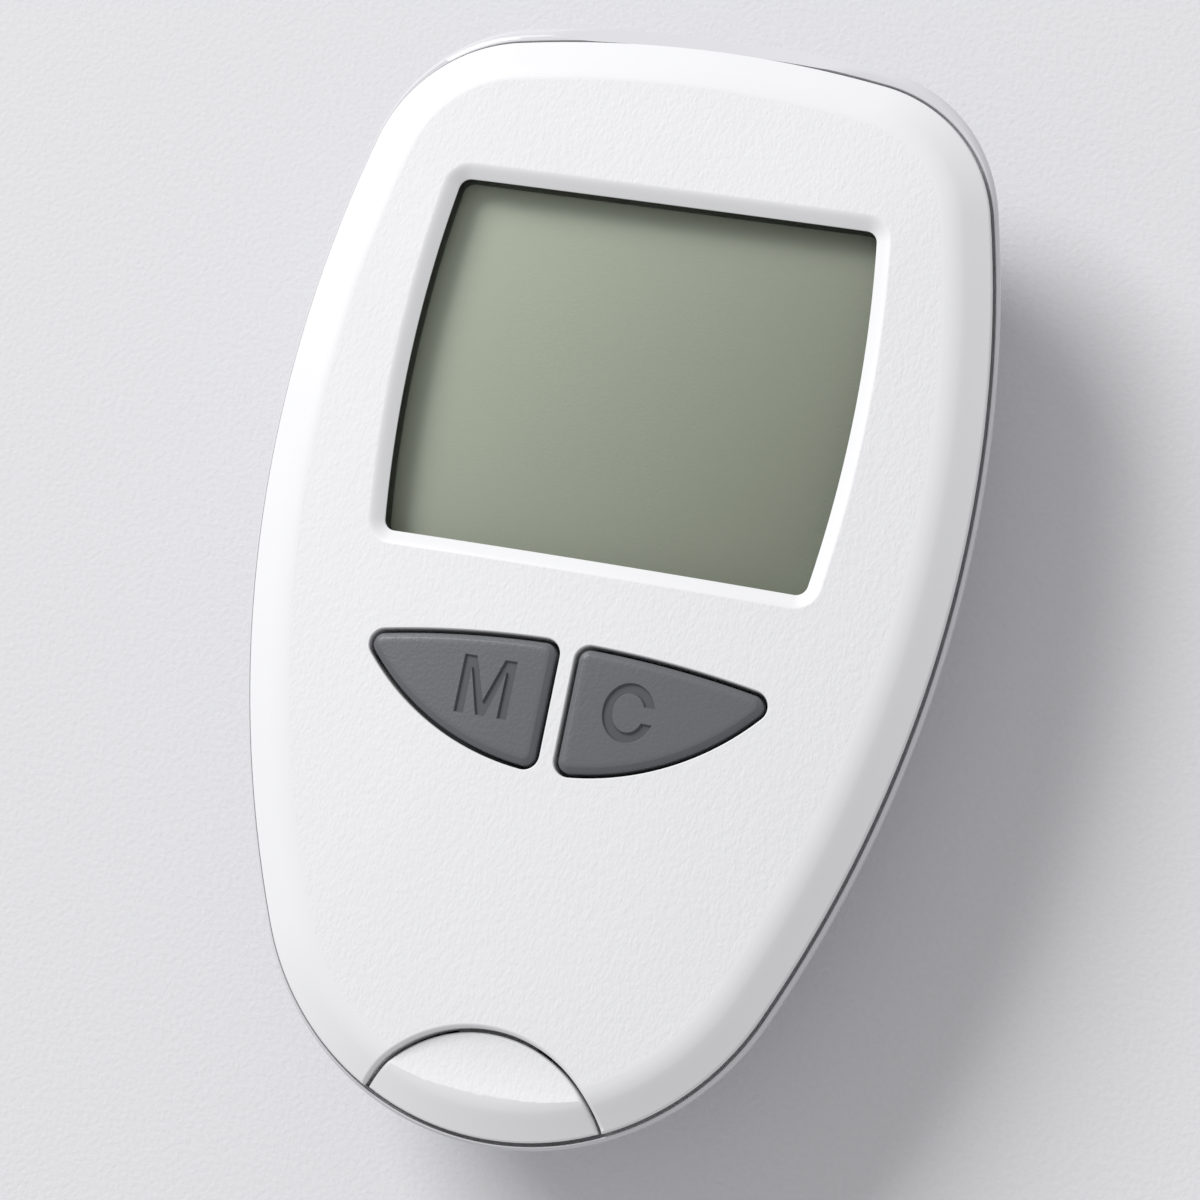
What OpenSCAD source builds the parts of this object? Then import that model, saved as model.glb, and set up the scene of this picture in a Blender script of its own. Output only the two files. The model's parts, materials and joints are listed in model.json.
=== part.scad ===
// Blood glucose meter lying on its back with the display upward.
// X runs across the meter, Y from the grip end to the test strip port, Z out of the display.
// The origin is on the table under the middle of the rear case.

/* [Body outline] */
// Width of the front cover at its widest
body_w = 60.2; // [57:0.1:66]
// Length of the front cover from grip end to strip end
body_l = 93.7; // [90:0.1:104]
// Height of the parting line between case and cover
part_z = 16.4; // [16:0.1:20]
// How far the rear case stands proud of the cover edge
lip = 0.5; // [0.3:0.05:1]
// Extra reach of the rear case over the strip port end
nose_out = 1.3; // [0.8:0.1:2]
// Wall of the rear case
case_wall = 1.7; // [1.4:0.1:2.2]
// Floor of the rear case
case_floor = 2.0; // [1.8:0.1:2.6]

/* [Front cover] */
// Wall of the front cover under its face
cover_wall = 1.5; // [1.2:0.05:1.9]
// Width of the glossy bevel round the face
bevel_w = 4.0; // [3:0.1:4.6]
// Height of the face edge over the parting line
face_edge_h = 2.3; // [2.1:0.05:3]
// Rise of the face from its edge to its middle
crown_h = 1.2; // [0.6:0.05:1.6]
// Shadow gap between the cover edge and the case
reveal_h = 0.3; // [0.2:0.05:0.5]

/* [Display] */
// Width of the window at its top and bottom edges
window_w = 36.4; // [33:0.1:38]
// Height of the window
window_h = 31.3; // [28:0.1:32]
// Bulge of each long side of the window
window_bulge = 1.1; // [0.3:0.1:1.6]
// Distance from the strip end of the cover to the window's upper edge
window_from_top = 14.45; // [13.5:0.05:16]
// Corner radius of the window
window_r = 1.0; // [0.6:0.1:2]
// Width of the sloped bezel round the window
bezel_w = 1.4; // [0.8:0.1:1.8]
// Thickness of the clear window's plug
pane_t = 1.1; // [0.9:0.05:1.4]
// Thickness of each display glass
lcd_glass_t = 0.7; // [0.5:0.05:0.8]
// Thickness of each polariser film
film_t = 0.2; // [0.15:0.05:0.3]
// Reach of the display glass past the window
lcd_margin = 1.2; // [0.9:0.1:1.6]
// Wall of the frame that holds the display
holder_wall = 1.0; // [0.8:0.1:1.2]

/* [Keys] */
// Width across both keys, between their sharp outer corners
keys_w = 36.4; // [33:0.1:39]
// Depth of the pair from its top edge to its lowest point
keys_h = 11.1; // [9.5:0.1:12]
// Distance from the window's lower edge to the keys' top edge
keys_below = 7.05; // [6.4:0.05:8]
// Radius of the keys' top edge
keys_top_r = 94; // [70:1:160]
// Width of the cover bridge between the two keys
bridge_w = 1.3; // [1:0.1:2]
// Gap round each key
key_gap = 0.35; // [0.25:0.05:0.5]
// Corner radius of a key
key_r = 1.3; // [1:0.1:1.6]
// How far a key stands proud of the face
key_proud = 0.35; // [0.1:0.05:0.6]
// Travel of a key
key_travel = 0.4; // [0.3:0.05:0.5]

/* [Strip ejector] */
// Reach of the ejector button from the grip end
eject_h = 8.75; // [8:0.05:9.5]
// Radius of the cut-out for the ejector button
eject_r = 11.3; // [10.8:0.1:12]
// Gap round the ejector button
eject_gap = 0.3; // [0.25:0.05:0.4]
// Drop of the button's top below the cover
eject_drop = 0.35; // [0.2:0.05:0.5]
// Travel of the ejector button
eject_travel = 1.2; // [0.8:0.05:1.2]
// Radius of the finger dish across the ejector button
dish_r = 14; // [10:0.5:30]
// Width of the ejector bar
bar_w = 2.2; // [1.8:0.1:2.4]
// Thickness of the ejector bar
bar_t = 1.3; // [1:0.05:1.35]

/* [Strip port] */
// Width of the strip slot
slot_w = 8.4; // [7:0.1:9.5]
// Height of the strip slot
slot_h = 0.9; // [0.7:0.05:1]
// Width of the scoop over the slot
scoop_w = 21.6; // [17:0.1:24]
// Depth of the scoop
scoop_d = 0.55; // [0.4:0.05:0.7]

/* [Power] */
// Diameter of a cell
cell_d = 10.5; // [9.8:0.1:10.5]
// Length of a cell with its cap
cell_l = 44.5; // [42:0.1:44.5]
// Length the contact springs take up
cell_spring_l = 3.4; // [2.8:0.1:4]
// Thickness of the battery door
door_t = 1.4; // [1.2:0.05:1.4]
// Distance from the grip end of the cover to the battery bay
bay_from_low = 12.2; // [11.6:0.1:13]

/* [Circuit board] */
// Thickness of the circuit board
board_t = 1.0; // [0.8:0.1:1.2]
// Gap from the case outline to the board edge
board_inset = 5.5; // [5:0.1:6.5]
// Diameter of a case screw's shank
screw_d = 2.0; // [1.6:0.1:2.3]
// Diameter of a case screw's head
screw_head_d = 3.8; // [3.4:0.1:4.2]

/* [Hidden] */
$fn = 48;

// Running clearances and small shared values
fit = 0.1;
loose = 0.3;

// The body outline is four tangent arcs, mirrored about Y: a flat nose, a tight corner,
// a long side and a round grip end. An arc is given by the heading at which it ends.
NOSE_A = 9.3;
CORNER_A = 76;
SIDE_A = 114;
NOSE_R = 100;
CORNER_R = 13.2;
END_R = 22.9;
CORNER_X = NOSE_R * sin(NOSE_A);
SIDE_X = CORNER_X + CORNER_R * (sin(CORNER_A) - sin(NOSE_A));
SIDE_R = (SIDE_X - END_R * sin(SIDE_A)) / (sin(CORNER_A) - sin(SIDE_A));
CORNER_Y = NOSE_R * (1 - cos(NOSE_A));
SIDE_Y = CORNER_Y + CORNER_R * (cos(NOSE_A) - cos(CORNER_A));
END_Y = SIDE_Y + SIDE_R * (cos(CORNER_A) - cos(SIDE_A));
EGG_W = 2 * (SIDE_X + SIDE_R * (1 - sin(CORNER_A)));
EGG_L = END_Y + END_R * (cos(SIDE_A) + 1);
kx = body_w / EGG_W;
ky = body_l / EGG_L;

// Ends of the cover, with the case centred on the origin
top_y = (body_l - nose_out) / 2;
low_y = top_y - body_l;
mid_y = top_y - body_l / 2;

function egg_x(h) = kx * (h <= NOSE_A ? NOSE_R * sin(h)
    : h <= CORNER_A ? CORNER_X + CORNER_R * (sin(h) - sin(NOSE_A))
    : h <= SIDE_A ? SIDE_X + SIDE_R * (sin(h) - sin(CORNER_A))
    : END_R * sin(h));
function egg_y(h) = top_y - ky * (h <= NOSE_A ? NOSE_R * (1 - cos(h))
    : h <= CORNER_A ? CORNER_Y + CORNER_R * (cos(NOSE_A) - cos(h))
    : h <= SIDE_A ? SIDE_Y + SIDE_R * (cos(CORNER_A) - cos(h))
    : END_Y + END_R * (cos(SIDE_A) - cos(h)));

// Headings at which the outline is sampled, down one side
HEADS = concat([0, NOSE_A / 2],
    [for (i = [0:8]) NOSE_A + i * (CORNER_A - NOSE_A) / 9],
    [for (i = [0:7]) CORNER_A + i * (SIDE_A - CORNER_A) / 8],
    [for (i = [0:9]) SIDE_A + i * (180 - SIDE_A) / 9]);

// One point of the outline, moved outward by d and further by n toward the nose
function egg_pt(h, side, d, n, s) =
    let (nx = sin(h) / kx, ny = cos(h) / ky, m = norm([nx, ny]),
        out = d + n * pow(max(0, cos(h)), 2))
    [side * s * (egg_x(h) + out * nx / m), mid_y + s * (egg_y(h) - mid_y + out * ny / m)];

// A closed ring at height z: d is the offset, n the nose reach, s a scale about the middle
function ring(d, z, n = 0, s = 1) = [
    for (h = HEADS) concat(egg_pt(h, 1, d, n, s), z),
    for (i = [len(HEADS) - 2:-1:1]) concat(egg_pt(HEADS[i], -1, d, n, s), z)];

module loft(rings) {
    n = len(rings[0]);
    m = len(rings);
    polyhedron(
        points = [for (r = rings, p = r) p],
        faces = concat([[for (i = [n - 1:-1:0]) i]],
            [for (j = [0:m - 2], i = [0:n - 1])
                [j * n + i, j * n + (i + 1) % n, (j + 1) * n + (i + 1) % n]],
            [for (j = [0:m - 2], i = [0:n - 1])
                [j * n + i, (j + 1) * n + (i + 1) % n, (j + 1) * n + i]],
            [[for (i = [0:n - 1]) (m - 1) * n + i]]));
}

// A flat plate with the body outline
module egg_plate(d, z, t) {
    translate([0, 0, z])
        linear_extrude(t)
            polygon([for (p = ring(d, 0)) [p[0], p[1]]]);
}

// Height of the face over the parting line at scale s of the face outline
function face_h(s) = face_edge_h + crown_h * (1 - s * s);

// Outer skin of the cover: edge, convex bevel, crowned face, lowered by drop
module cover_skin(drop = 0, inset = 0, foot = 0) {
    b = bevel_w;
    e = face_edge_h;
    z = part_z - drop;
    loft([
        ring(-inset - reveal_h, z + foot),
        ring(-inset - reveal_h, z + reveal_h * 0.8),
        ring(-inset, z + reveal_h),
        ring(-inset, z + e * 0.4),
        ring(-inset - b * 0.04, z + e * 0.52),
        ring(-inset - b * 0.14, z + e * 0.64),
        ring(-inset - b * 0.35, z + e * 0.79),
        ring(-inset - b * 0.66, z + e * 0.92),
        ring(-b, z + e),
        ring(-b, z + face_h(0.86), 0, 0.86),
        ring(-b, z + face_h(0.68), 0, 0.68),
        ring(-b, z + face_h(0.45), 0, 0.45),
        ring(-b, z + face_h(0.18), 0, 0.18)]);
}

// Hollow under the cover
module cover_hollow() {
    w = cover_wall;
    z = part_z;
    loft([
        ring(-case_wall, z - 1),
        ring(-case_wall, z + reveal_h),
        ring(-bevel_w * 0.6 - 0.4, z + face_edge_h * 0.9 - w),
        ring(-bevel_w - 0.3, z + face_edge_h - w),
        ring(-bevel_w - 0.3, z + face_h(0.86) - w, 0, 0.86),
        ring(-bevel_w - 0.3, z + face_h(0.68) - w, 0, 0.68),
        ring(-bevel_w - 0.3, z + face_h(0.45) - w, 0, 0.45),
        ring(-bevel_w - 0.3, z + face_h(0.18) - w, 0, 0.18)]);
}

// Heights inside, from the battery up to the display
cell_z = door_t + 0.2 + cell_d / 2;
bay_top_z = cell_z + cell_d / 2 + 0.15;
bay_lid_t = 0.6;
board_z = bay_top_z + bay_lid_t + 0.15;
board_top = board_z + board_t;
lcd_z = board_top + 0.45;
lcd_top = lcd_z + 2 * film_t + 2 * lcd_glass_t;
pane_z = lcd_top + 0.15;
pane_flange_t = 0.5;
seat_z = pane_z + pane_flange_t + 0.05;

// Middle of the window
window_y = top_y - window_from_top - window_h / 2;

// Display glass: the upper plate overhangs at the keys' side to carry the contacts
lcd_w = window_w + 2 * window_bulge + 2 * lcd_margin;
lcd_high_y = window_y + window_h / 2 + lcd_margin;
lcd_low_y = window_y - window_h / 2 - lcd_margin;
contact_ledge = 2.0;
holder_low_y = lcd_low_y - contact_ledge - fit - holder_wall;

// Display outline: straight ends and bulging sides with round corners, grown by g
function window_half(y, g) = window_w / 2 + g
    + window_bulge * (1 - pow(y / (window_h / 2 + g), 2));
function corner_arc(cx, cy, r, a) = [for (i = [0:5]) [cx + r * cos(a - i * 18), cy + r * sin(a - i * 18)]];
function window_side(g, s) = [for (i = [1:11])
    let (y = (window_h / 2 + g - window_r - g) * (1 - i / 6)) [s * window_half(y, g), y * s]];
function window_pts(g) = let (r = window_r + g, x = window_w / 2 + g - r, y = window_h / 2 + g - r)
    concat(corner_arc(x, y, r, 90), window_side(g, 1), corner_arc(x, -y, r, 0),
        corner_arc(-x, -y, r, -90), window_side(g, -1), corner_arc(-x, y, r, -180));
function window_ring(g, z) = [for (p = window_pts(g)) [p[0], window_y + p[1], z]];

module window_prism(g, z0, z1) {
    translate([0, window_y, z0])
        linear_extrude(z1 - z0)
            polygon(window_pts(g));
}

// Key outline, clockwise from above: side is -1 for the left key and 1 for the right, g grows it
// and gi grows its edge at the bridge. Two arcs meet at the outer corner, and each corner is rounded.
keys_y = window_y - window_h / 2 - keys_below;
keys_sag = keys_h - keys_w * keys_w / 8 / keys_top_r;
keys_low_r = (keys_w * keys_w / 4 + keys_sag * keys_sag) / (2 * keys_sag);
keys_top_c = keys_y - keys_top_r;
keys_low_c = keys_y - keys_h + keys_low_r;
function arc(c, r, a0, a1, n) = [for (i = [0:n]) let (a = a0 + (a1 - a0) * i / n)
    [c[0] + r * sin(a), c[1] + r * cos(a)]];
function flip(pts) = [for (i = [len(pts) - 1:-1:0]) [-pts[i][0], pts[i][1]]];
function key_right(g, gi) =
    let (r = key_r + g,
        rt = keys_top_r - key_r,
        rl = keys_low_r - key_r,
        x = bridge_w / 2 + key_r - gi + g,
        yb = (rt * rt - rl * rl + keys_low_c * keys_low_c - keys_top_c * keys_top_c)
            / (2 * (keys_low_c - keys_top_c)),
        a = [x, keys_top_c + sqrt(rt * rt - x * x)],
        b = [sqrt(rt * rt - pow(yb - keys_top_c, 2)), yb],
        c = [x, keys_low_c - sqrt(rl * rl - x * x)],
        at = atan2(a[0], a[1] - keys_top_c),
        bt = atan2(b[0], b[1] - keys_top_c),
        bl = atan2(b[0], b[1] - keys_low_c),
        cl = atan2(c[0], c[1] - keys_low_c))
    concat(arc([0, keys_top_c], rt + r, at, bt, 6),
        [for (i = [1:5]) arc(b, r, bt, bl, 6)[i]],
        arc([0, keys_low_c], rl + r, bl, cl, 8),
        [for (i = [1:4]) arc(c, r, cl, 270, 4)[i]],
        [for (i = [0:3]) arc(a, r, 270, 360 + at, 4)[i]]);
function key_pts(side, g, gi) = side > 0 ? key_right(g, gi) : flip(key_right(g, gi));
function key_ring(side, g, z) = [for (p = key_pts(side, g, g)) [p[0], p[1], z]];
module key_shape(side, g, gi) {
    polygon(key_pts(side, g, gi));
}

// Heights of the keys and of the switches below them
switch_t = 1.0;
key_face_z = part_z + face_edge_h + crown_h * 0.62;
key_top_z = key_face_z + key_proud;
key_stem_z = board_top + switch_t + key_travel + 0.1;
plunger_l = key_travel + 0.35;
key_collar_z = part_z + 0.5;
key_flange_t = 0.5;
key_flange_z = key_collar_z - 0.1 - key_flange_t;
key_x = keys_w * 0.22;
key_y = keys_y - keys_h * 0.47;

// Battery bay
plate_t = 0.4;
bay_l = cell_l + cell_spring_l + 2 * plate_t + 0.4;
bay_low_y = low_y + bay_from_low;
bay_high_y = bay_low_y + bay_l;
cell_x = cell_d / 2 + 0.5;
bay_w = 2 * (cell_x + cell_d / 2 + 0.4);
bay_wall = 1.0;
door_w = bay_w + 1.6;
door_high_y = bay_high_y + 1.6;
// Contact coils are cones of round wire, from r0 at the plate to r1 at the cell
cell_coil_r0 = 3.6;
cell_coil_r1 = 2.2;
cell_wire = 0.5;
cell_plate_w = 7.6;
cell_cap_d = 3.8;
tongue_w = 0.9;
tongue_z = door_t / 2 - 0.3;

// Case screws, at the corners beside the display and beside the battery bay
boss_top_x = body_w / 2 - 13.1;
boss_top_y = top_y - 7.9;
boss_low_x = door_w / 2 + tongue_w + fit + 0.5 + screw_head_d / 2 + loose;
boss_low_y = low_y + 21.5;
boss_d = screw_d + 3;
boss_split_z = part_z - 5.6;
BOSSES = [[boss_top_x, boss_top_y], [-boss_top_x, boss_top_y],
    [boss_low_x, boss_low_y], [-boss_low_x, boss_low_y]];
screw_seat_z = 4.6;
screw_grip = 4.6;
screw_head_t = 1.5;
board_screw_d = 1.6;
board_head_d = 3;
board_head_t = 0.9;
board_grip = 4.4;
// The board's screws stand beside the keys, just below the display holder
standoff_x = body_w / 2 - 10.6;
standoff_y = holder_low_y - board_head_d / 2 - loose;
standoff_d = board_screw_d + 2.6;

// Ejector button: a disc's segment cut off by the grip end, on an arc of eject_r
eject_y = low_y + eject_h - eject_r;
eject_block_z = 12.6;
eject_seat_z = eject_block_z - 3.2;
// The finger dish is a shallow groove across the button, from a ridge on its bevel to its arc
dish_low_y = low_y + 3.5;
dish_half = (low_y + eject_h - dish_low_y) / 2;
dish_y = dish_low_y + dish_half;
dish_z = part_z + face_edge_h - eject_drop - 0.06 + sqrt(dish_r * dish_r - dish_half * dish_half);
bar_z = bay_top_z + bay_lid_t - bar_t - 0.05;
bar_ratio = 2;
bar_low_y = low_y + 5.4;
bar_high_y = window_y + window_h / 2 + lcd_margin + holder_wall + 1.4;
channel_w = bar_w + 2 * fit;
finger_w = 1.2;
board_end_gap = 4.2;
spring_x = 4.4;
spring_y = low_y + 5.2;
spring_d = 2.4;
spring_wire = 0.4;

// Strip slot and connector
strip_z = board_top + 0.65;
connector_w = slot_w + 3.2;
connector_h = 2.2;
contact_pitch = 1.5;
contact_w = 0.6;
connector_low_y = bar_high_y + bar_ratio * eject_travel + 0.6;
connector_high_y = top_y - case_wall - 0.9;

// A block between two corners
module block(a, b) {
    translate(a)
        cube([b[0] - a[0], b[1] - a[1], b[2] - a[2]]);
}

module front_cover() {
    color("white")
        difference() {
            union() {
                difference() {
                    cover_skin();
                    difference() {
                        cover_hollow();
                        // Flat seat for the window and collars that guide the keys
                        window_prism(bezel_w + 0.6, seat_z, part_z + 6);
                        for (side = [-1, 1])
                            translate([0, 0, key_collar_z])
                                linear_extrude(6)
                                    key_shape(side, 1.1, bridge_w / 2 + 0.01);
                        // Rolled wall round the ejector's cut-out
                        translate([0, eject_y, part_z + 0.1])
                            cylinder(h = 6, r = eject_r + 1.1);
                    }
                }
                // Screw bosses hang from the cover
                for (b = BOSSES)
                    translate([b[0], b[1], boss_split_z])
                        cylinder(h = part_z + 1.2 - boss_split_z, d = boss_d);
            }
            // Window opening and its sloped bezel
            loft([window_ring(0, part_z - 2),
                window_ring(0, part_z + face_edge_h - 0.25),
                window_ring(bezel_w + 1.1, part_z + face_h(0.3) + 0.9)]);
            // Key openings
            for (side = [-1, 1])
                translate([0, 0, part_z - 2])
                    linear_extrude(9)
                        key_shape(side, 0, 0);
            // Cut-out for the ejector button
            translate([0, eject_y, part_z - 2])
                cylinder(h = 9, r = eject_r);
            // Blind screw holes
            for (b = BOSSES)
                translate([b[0], b[1], boss_split_z - 1])
                    cylinder(h = screw_grip + 1.6, d = screw_d + 0.1);
        }
}

// Outer skin of the rear case: flat back, swept sides, upright lip and sloping nose
module case_skin() {
    z = part_z;
    loft([
        ring(-9.6, 0),
        ring(-8.2, 0.25),
        ring(-6.4, 1.1),
        ring(-4.6, 2.9),
        ring(-3.1, 5.6),
        ring(-1.8, 9),
        ring(-0.7, z - 4, nose_out * 0.35),
        ring(lip * 0.5, z - 2.2, nose_out * 0.8),
        ring(lip, z - 0.9, nose_out),
        ring(lip, z - reveal_h, nose_out * 0.7),
        ring(lip - 0.2, z, nose_out * 0.45)]);
}

module case_hollow() {
    w = case_wall;
    z = part_z;
    loft([
        ring(-10.4, case_floor),
        ring(-8.6, case_floor + 0.3),
        ring(-6.6, case_floor + 1.8),
        ring(-5, 5.9),
        ring(-3.6, 9.2),
        ring(-2.5, z - 3.8),
        ring(-w, z - 2),
        ring(-w, z + 1)]);
}

module battery_bay_walls() {
    difference() {
        block([-bay_w / 2 - bay_wall, bay_low_y - bay_wall, 1],
            [bay_w / 2 + bay_wall, bay_high_y + bay_wall, bay_top_z + bay_lid_t]);
        block([-bay_w / 2, bay_low_y, 0], [bay_w / 2, bay_high_y, bay_top_z]);
    }
    // Channel for the ejector bar, in the valley between the cells
    block([-channel_w / 2 - 0.55, bay_low_y - bay_wall, bar_z - 0.65],
        [channel_w / 2 + 0.55, bay_high_y + bay_wall, bay_top_z + bay_lid_t]);
    // Ledges that the circuit board rests on
    for (side = [-1, 1])
        block([side * (bay_w / 2 + bay_wall / 2) - bay_wall / 2, bay_low_y + 4, bay_top_z],
            [side * (bay_w / 2 + bay_wall / 2) + bay_wall / 2, bay_high_y - 4, board_z]);
}

module rear_case() {
    color("whitesmoke")
        difference() {
            union() {
                difference() {
                    case_skin();
                    case_hollow();
                }
                intersection() {
                    case_skin();
                    union() {
                        battery_bay_walls();
                        // Screw bosses and board standoffs rise from the floor
                        for (b = BOSSES)
                            translate([b[0], b[1], 0.5])
                                cylinder(h = boss_split_z - 0.6, d = boss_d);
                        for (side = [-1, 1])
                            translate([side * standoff_x, standoff_y, 0.5])
                                cylinder(h = board_z - 0.5, d = standoff_d);
                        // Seats under the ejector's return springs
                        for (side = [-1, 1])
                            translate([side * spring_x, spring_y, 1.5])
                                cylinder(h = eject_seat_z - 1.5, d = spring_d + 1.2);
                        // Guide for the free end of the ejector bar
                        difference() {
                            block([-channel_w / 2 - 1, bar_high_y - 6, 1],
                                [channel_w / 2 + 1, bar_high_y - 3, board_z - 0.15]);
                            block([-channel_w / 2, bar_high_y - 7, bar_z - fit],
                                [channel_w / 2, bar_high_y, board_z + 1]);
                        }
                    }
                }
            }
            // Bar channel
            block([-channel_w / 2, bay_low_y - 3, bar_z - fit],
                [channel_w / 2, bay_high_y + 3, board_z + 1]);
            // Door opening, the shelf it lies against and its two grooves
            block([-bay_w / 2, bay_low_y, -1], [bay_w / 2, bay_high_y, 3]);
            block([-door_w / 2 - fit, low_y - 9, -1],
                [door_w / 2 + fit, door_high_y + fit, door_t + fit]);
            block([-door_w / 2 - tongue_w - fit, low_y - 9, tongue_z - fit],
                [door_w / 2 + tongue_w + fit, door_high_y + fit, tongue_z + 0.6 + fit]);
            // Catch slot behind the door
            block([-3.2, door_high_y - 1, 0.5], [3.2, door_high_y + 1.1, door_t + fit]);
            // Screw holes and their counterbores
            for (b = BOSSES) {
                translate([b[0], b[1], -1])
                    cylinder(h = part_z, d = screw_d + 0.3);
                translate([b[0], b[1], -1])
                    cylinder(h = screw_seat_z + 1, d = screw_head_d + 0.6);
            }
            for (side = [-1, 1])
                translate([side * standoff_x, standoff_y, board_z - board_grip - 0.6])
                    cylinder(h = board_grip + 1.6, d = board_screw_d + 0.1);
            // Rim let down under the ejector button, inside the outer lip
            intersection() {
                translate([0, eject_y, part_z - eject_travel - 0.25])
                    cylinder(h = 4, r = eject_r + 0.3);
                egg_plate(-eject_gap + 0.2, part_z - eject_travel - 0.25, 4);
            }
            // Strip slot with a flared mouth
            block([-slot_w / 2, top_y - 4, strip_z - slot_h / 2],
                [slot_w / 2, top_y + 6, strip_z + slot_h / 2]);
            strip_mouth();
            // Scoop over the slot
            scoop();
        }
}

// A flared mouth that leads the strip in from below and from both sides
module strip_mouth() {
    hull() {
        block([-slot_w / 2, top_y + 0.2, strip_z - slot_h / 2],
            [slot_w / 2, top_y + 0.3, strip_z + slot_h / 2]);
        block([-slot_w / 2 - 1.6, top_y + 3, strip_z - slot_h / 2 - 1.4],
            [slot_w / 2 + 1.6, top_y + 3.1, strip_z + slot_h / 2]);
    }
}

// A shallow spherical scoop across the sloping nose
module scoop() {
    r = 1 / (8 * scoop_d / (scoop_w * scoop_w) - 0.5 / NOSE_R);
    translate([0, top_y + lip + nose_out * 0.55, part_z - 0.35])
        rotate([-25, 0, 0])
            translate([0, 0, r - scoop_d])
                sphere(r = r, $fn = 192);
}

module display_window() {
    color("gainsboro", 0.3) {
        window_prism(bezel_w * 0.5, pane_z, pane_z + pane_flange_t);
        window_prism(-fit, pane_z + pane_flange_t, pane_z + pane_t);
    }
}

module lcd_reflector() {
    color("silver")
        block([-lcd_w / 2 + 0.5, lcd_low_y + 0.5, lcd_z],
            [lcd_w / 2 - 0.5, lcd_high_y - 0.5, lcd_z + film_t]);
}

module lcd_glass() {
    z = lcd_z + film_t;
    color("darkseagreen", 0.5) {
        block([-lcd_w / 2, lcd_low_y, z], [lcd_w / 2, lcd_high_y, z + lcd_glass_t]);
        block([-lcd_w / 2, lcd_low_y - contact_ledge, z + lcd_glass_t],
            [lcd_w / 2, lcd_high_y, z + 2 * lcd_glass_t]);
    }
}

module lcd_polariser() {
    z = lcd_z + film_t + 2 * lcd_glass_t;
    color([0.62, 0.66, 0.59])
        block([-lcd_w / 2 + 0.5, lcd_low_y + 0.5, z],
            [lcd_w / 2 - 0.5, lcd_high_y - 0.5, z + film_t]);
}

module lcd_holder() {
    w = lcd_w + 2 * fit + 2 * holder_wall;
    y0 = holder_low_y + holder_wall;
    y1 = lcd_high_y + fit;
    color("lightgray")
        difference() {
            block([-w / 2, holder_low_y, board_top], [w / 2, y1 + holder_wall, lcd_top]);
            block([-w / 2 + holder_wall, y0, lcd_z - 0.05], [w / 2 - holder_wall, y1, lcd_top + 1]);
            // Open middle, leaving a ledge under the glass
            block([-w / 2 + holder_wall + 1.5, lcd_low_y + 1.5, board_top - 1],
                [w / 2 - holder_wall - 1.5, y1 - 1.5, lcd_top]);
            // Trough for the contact strip
            block([-w / 2 + holder_wall, y0, board_top - 1],
                [w / 2 - holder_wall, lcd_low_y - fit, lcd_top + 1]);
        }
}

module zebra_strip() {
    color("dimgray")
        block([-lcd_w / 2 + 1, lcd_low_y - contact_ledge + 0.3, board_top],
            [lcd_w / 2 - 1, lcd_low_y - fit - 0.2, lcd_z + film_t + lcd_glass_t]);
}

module circuit_board() {
    color("seagreen")
        difference() {
            egg_plate(-board_inset, board_z, board_t);
            // Square end clear of the ejector button
            block([-body_w, low_y - body_l, board_z - 1],
                [body_w, low_y + eject_h + board_end_gap, board_top + 1]);
            // Slot for the ejector finger
            block([-bar_w / 2 - 0.5, bar_high_y - finger_w - 1, board_z - 1],
                [bar_w / 2 + 0.5, connector_low_y + 0.4, board_top + 1]);
            // Notches round the screw bosses, open to the board's edge
            for (b = BOSSES) {
                translate([b[0], b[1], board_z - 1])
                    cylinder(h = board_t + 2, d = boss_d + 2 * loose);
                reach = boss_d / 2 + loose;
                block([min(b[0], sign(b[0]) * body_w), b[1] - reach, board_z - 1],
                    [max(b[0], sign(b[0]) * body_w), b[1] + (b[1] > 0 ? 20 : reach), board_top + 1]);
            }
            for (side = [-1, 1])
                translate([side * standoff_x, standoff_y, board_z - 1])
                    cylinder(h = board_t + 2, d = board_screw_d + 0.5);
        }
}

// Board parts hang beside the battery bay, midway to the board's edge
chip_x = (bay_w / 2 + bay_wall + body_w / 2 - board_inset) / 2;
processor_w = 7;
memory_w = 4;
memory_l = 4.9;
memory_y = lcd_low_y + 0.85;
chip_t = 1.2;
leg_pitch = 0.8;
crystal_d = 2.1;
crystal_l = 6;
buzzer_d = 9;
buzzer_y = lcd_low_y + 4.85;
buzzer_t = 3;
buzzer_hole_d = 1.6;

module chip(w, l, legs, pitch) {
    block([-w / 2, -l / 2, board_z - chip_t], [w / 2, l / 2, board_z - fit]);
    for (side = [-1, 1], i = [0:legs - 1])
        translate([side * (w / 2 + 0.35), (i - (legs - 1) / 2) * pitch, board_z - 0.35])
            cube([0.9, pitch * 0.45, 0.7], center = true);
}

module processor() {
    color("black")
        translate([-chip_x, window_y - 6, 0])
            chip(processor_w, processor_w, 7, leg_pitch);
}

module memory_chip() {
    color("black")
        translate([-chip_x, memory_y, 0])
            chip(memory_w, memory_l, 4, leg_pitch * 1.4);
}

module crystal() {
    color("silver")
        translate([-chip_x, window_y + 1.5, board_z - crystal_d / 2])
            rotate([0, 90, 0])
                cylinder(h = crystal_l, d = crystal_d, center = true);
}

module buzzer() {
    color("black")
        translate([chip_x, buzzer_y, board_z - buzzer_t])
            difference() {
                cylinder(h = buzzer_t, d = buzzer_d);
                translate([0, 0, -1])
                    cylinder(h = 1.8, d = buzzer_hole_d);
            }
}

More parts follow.
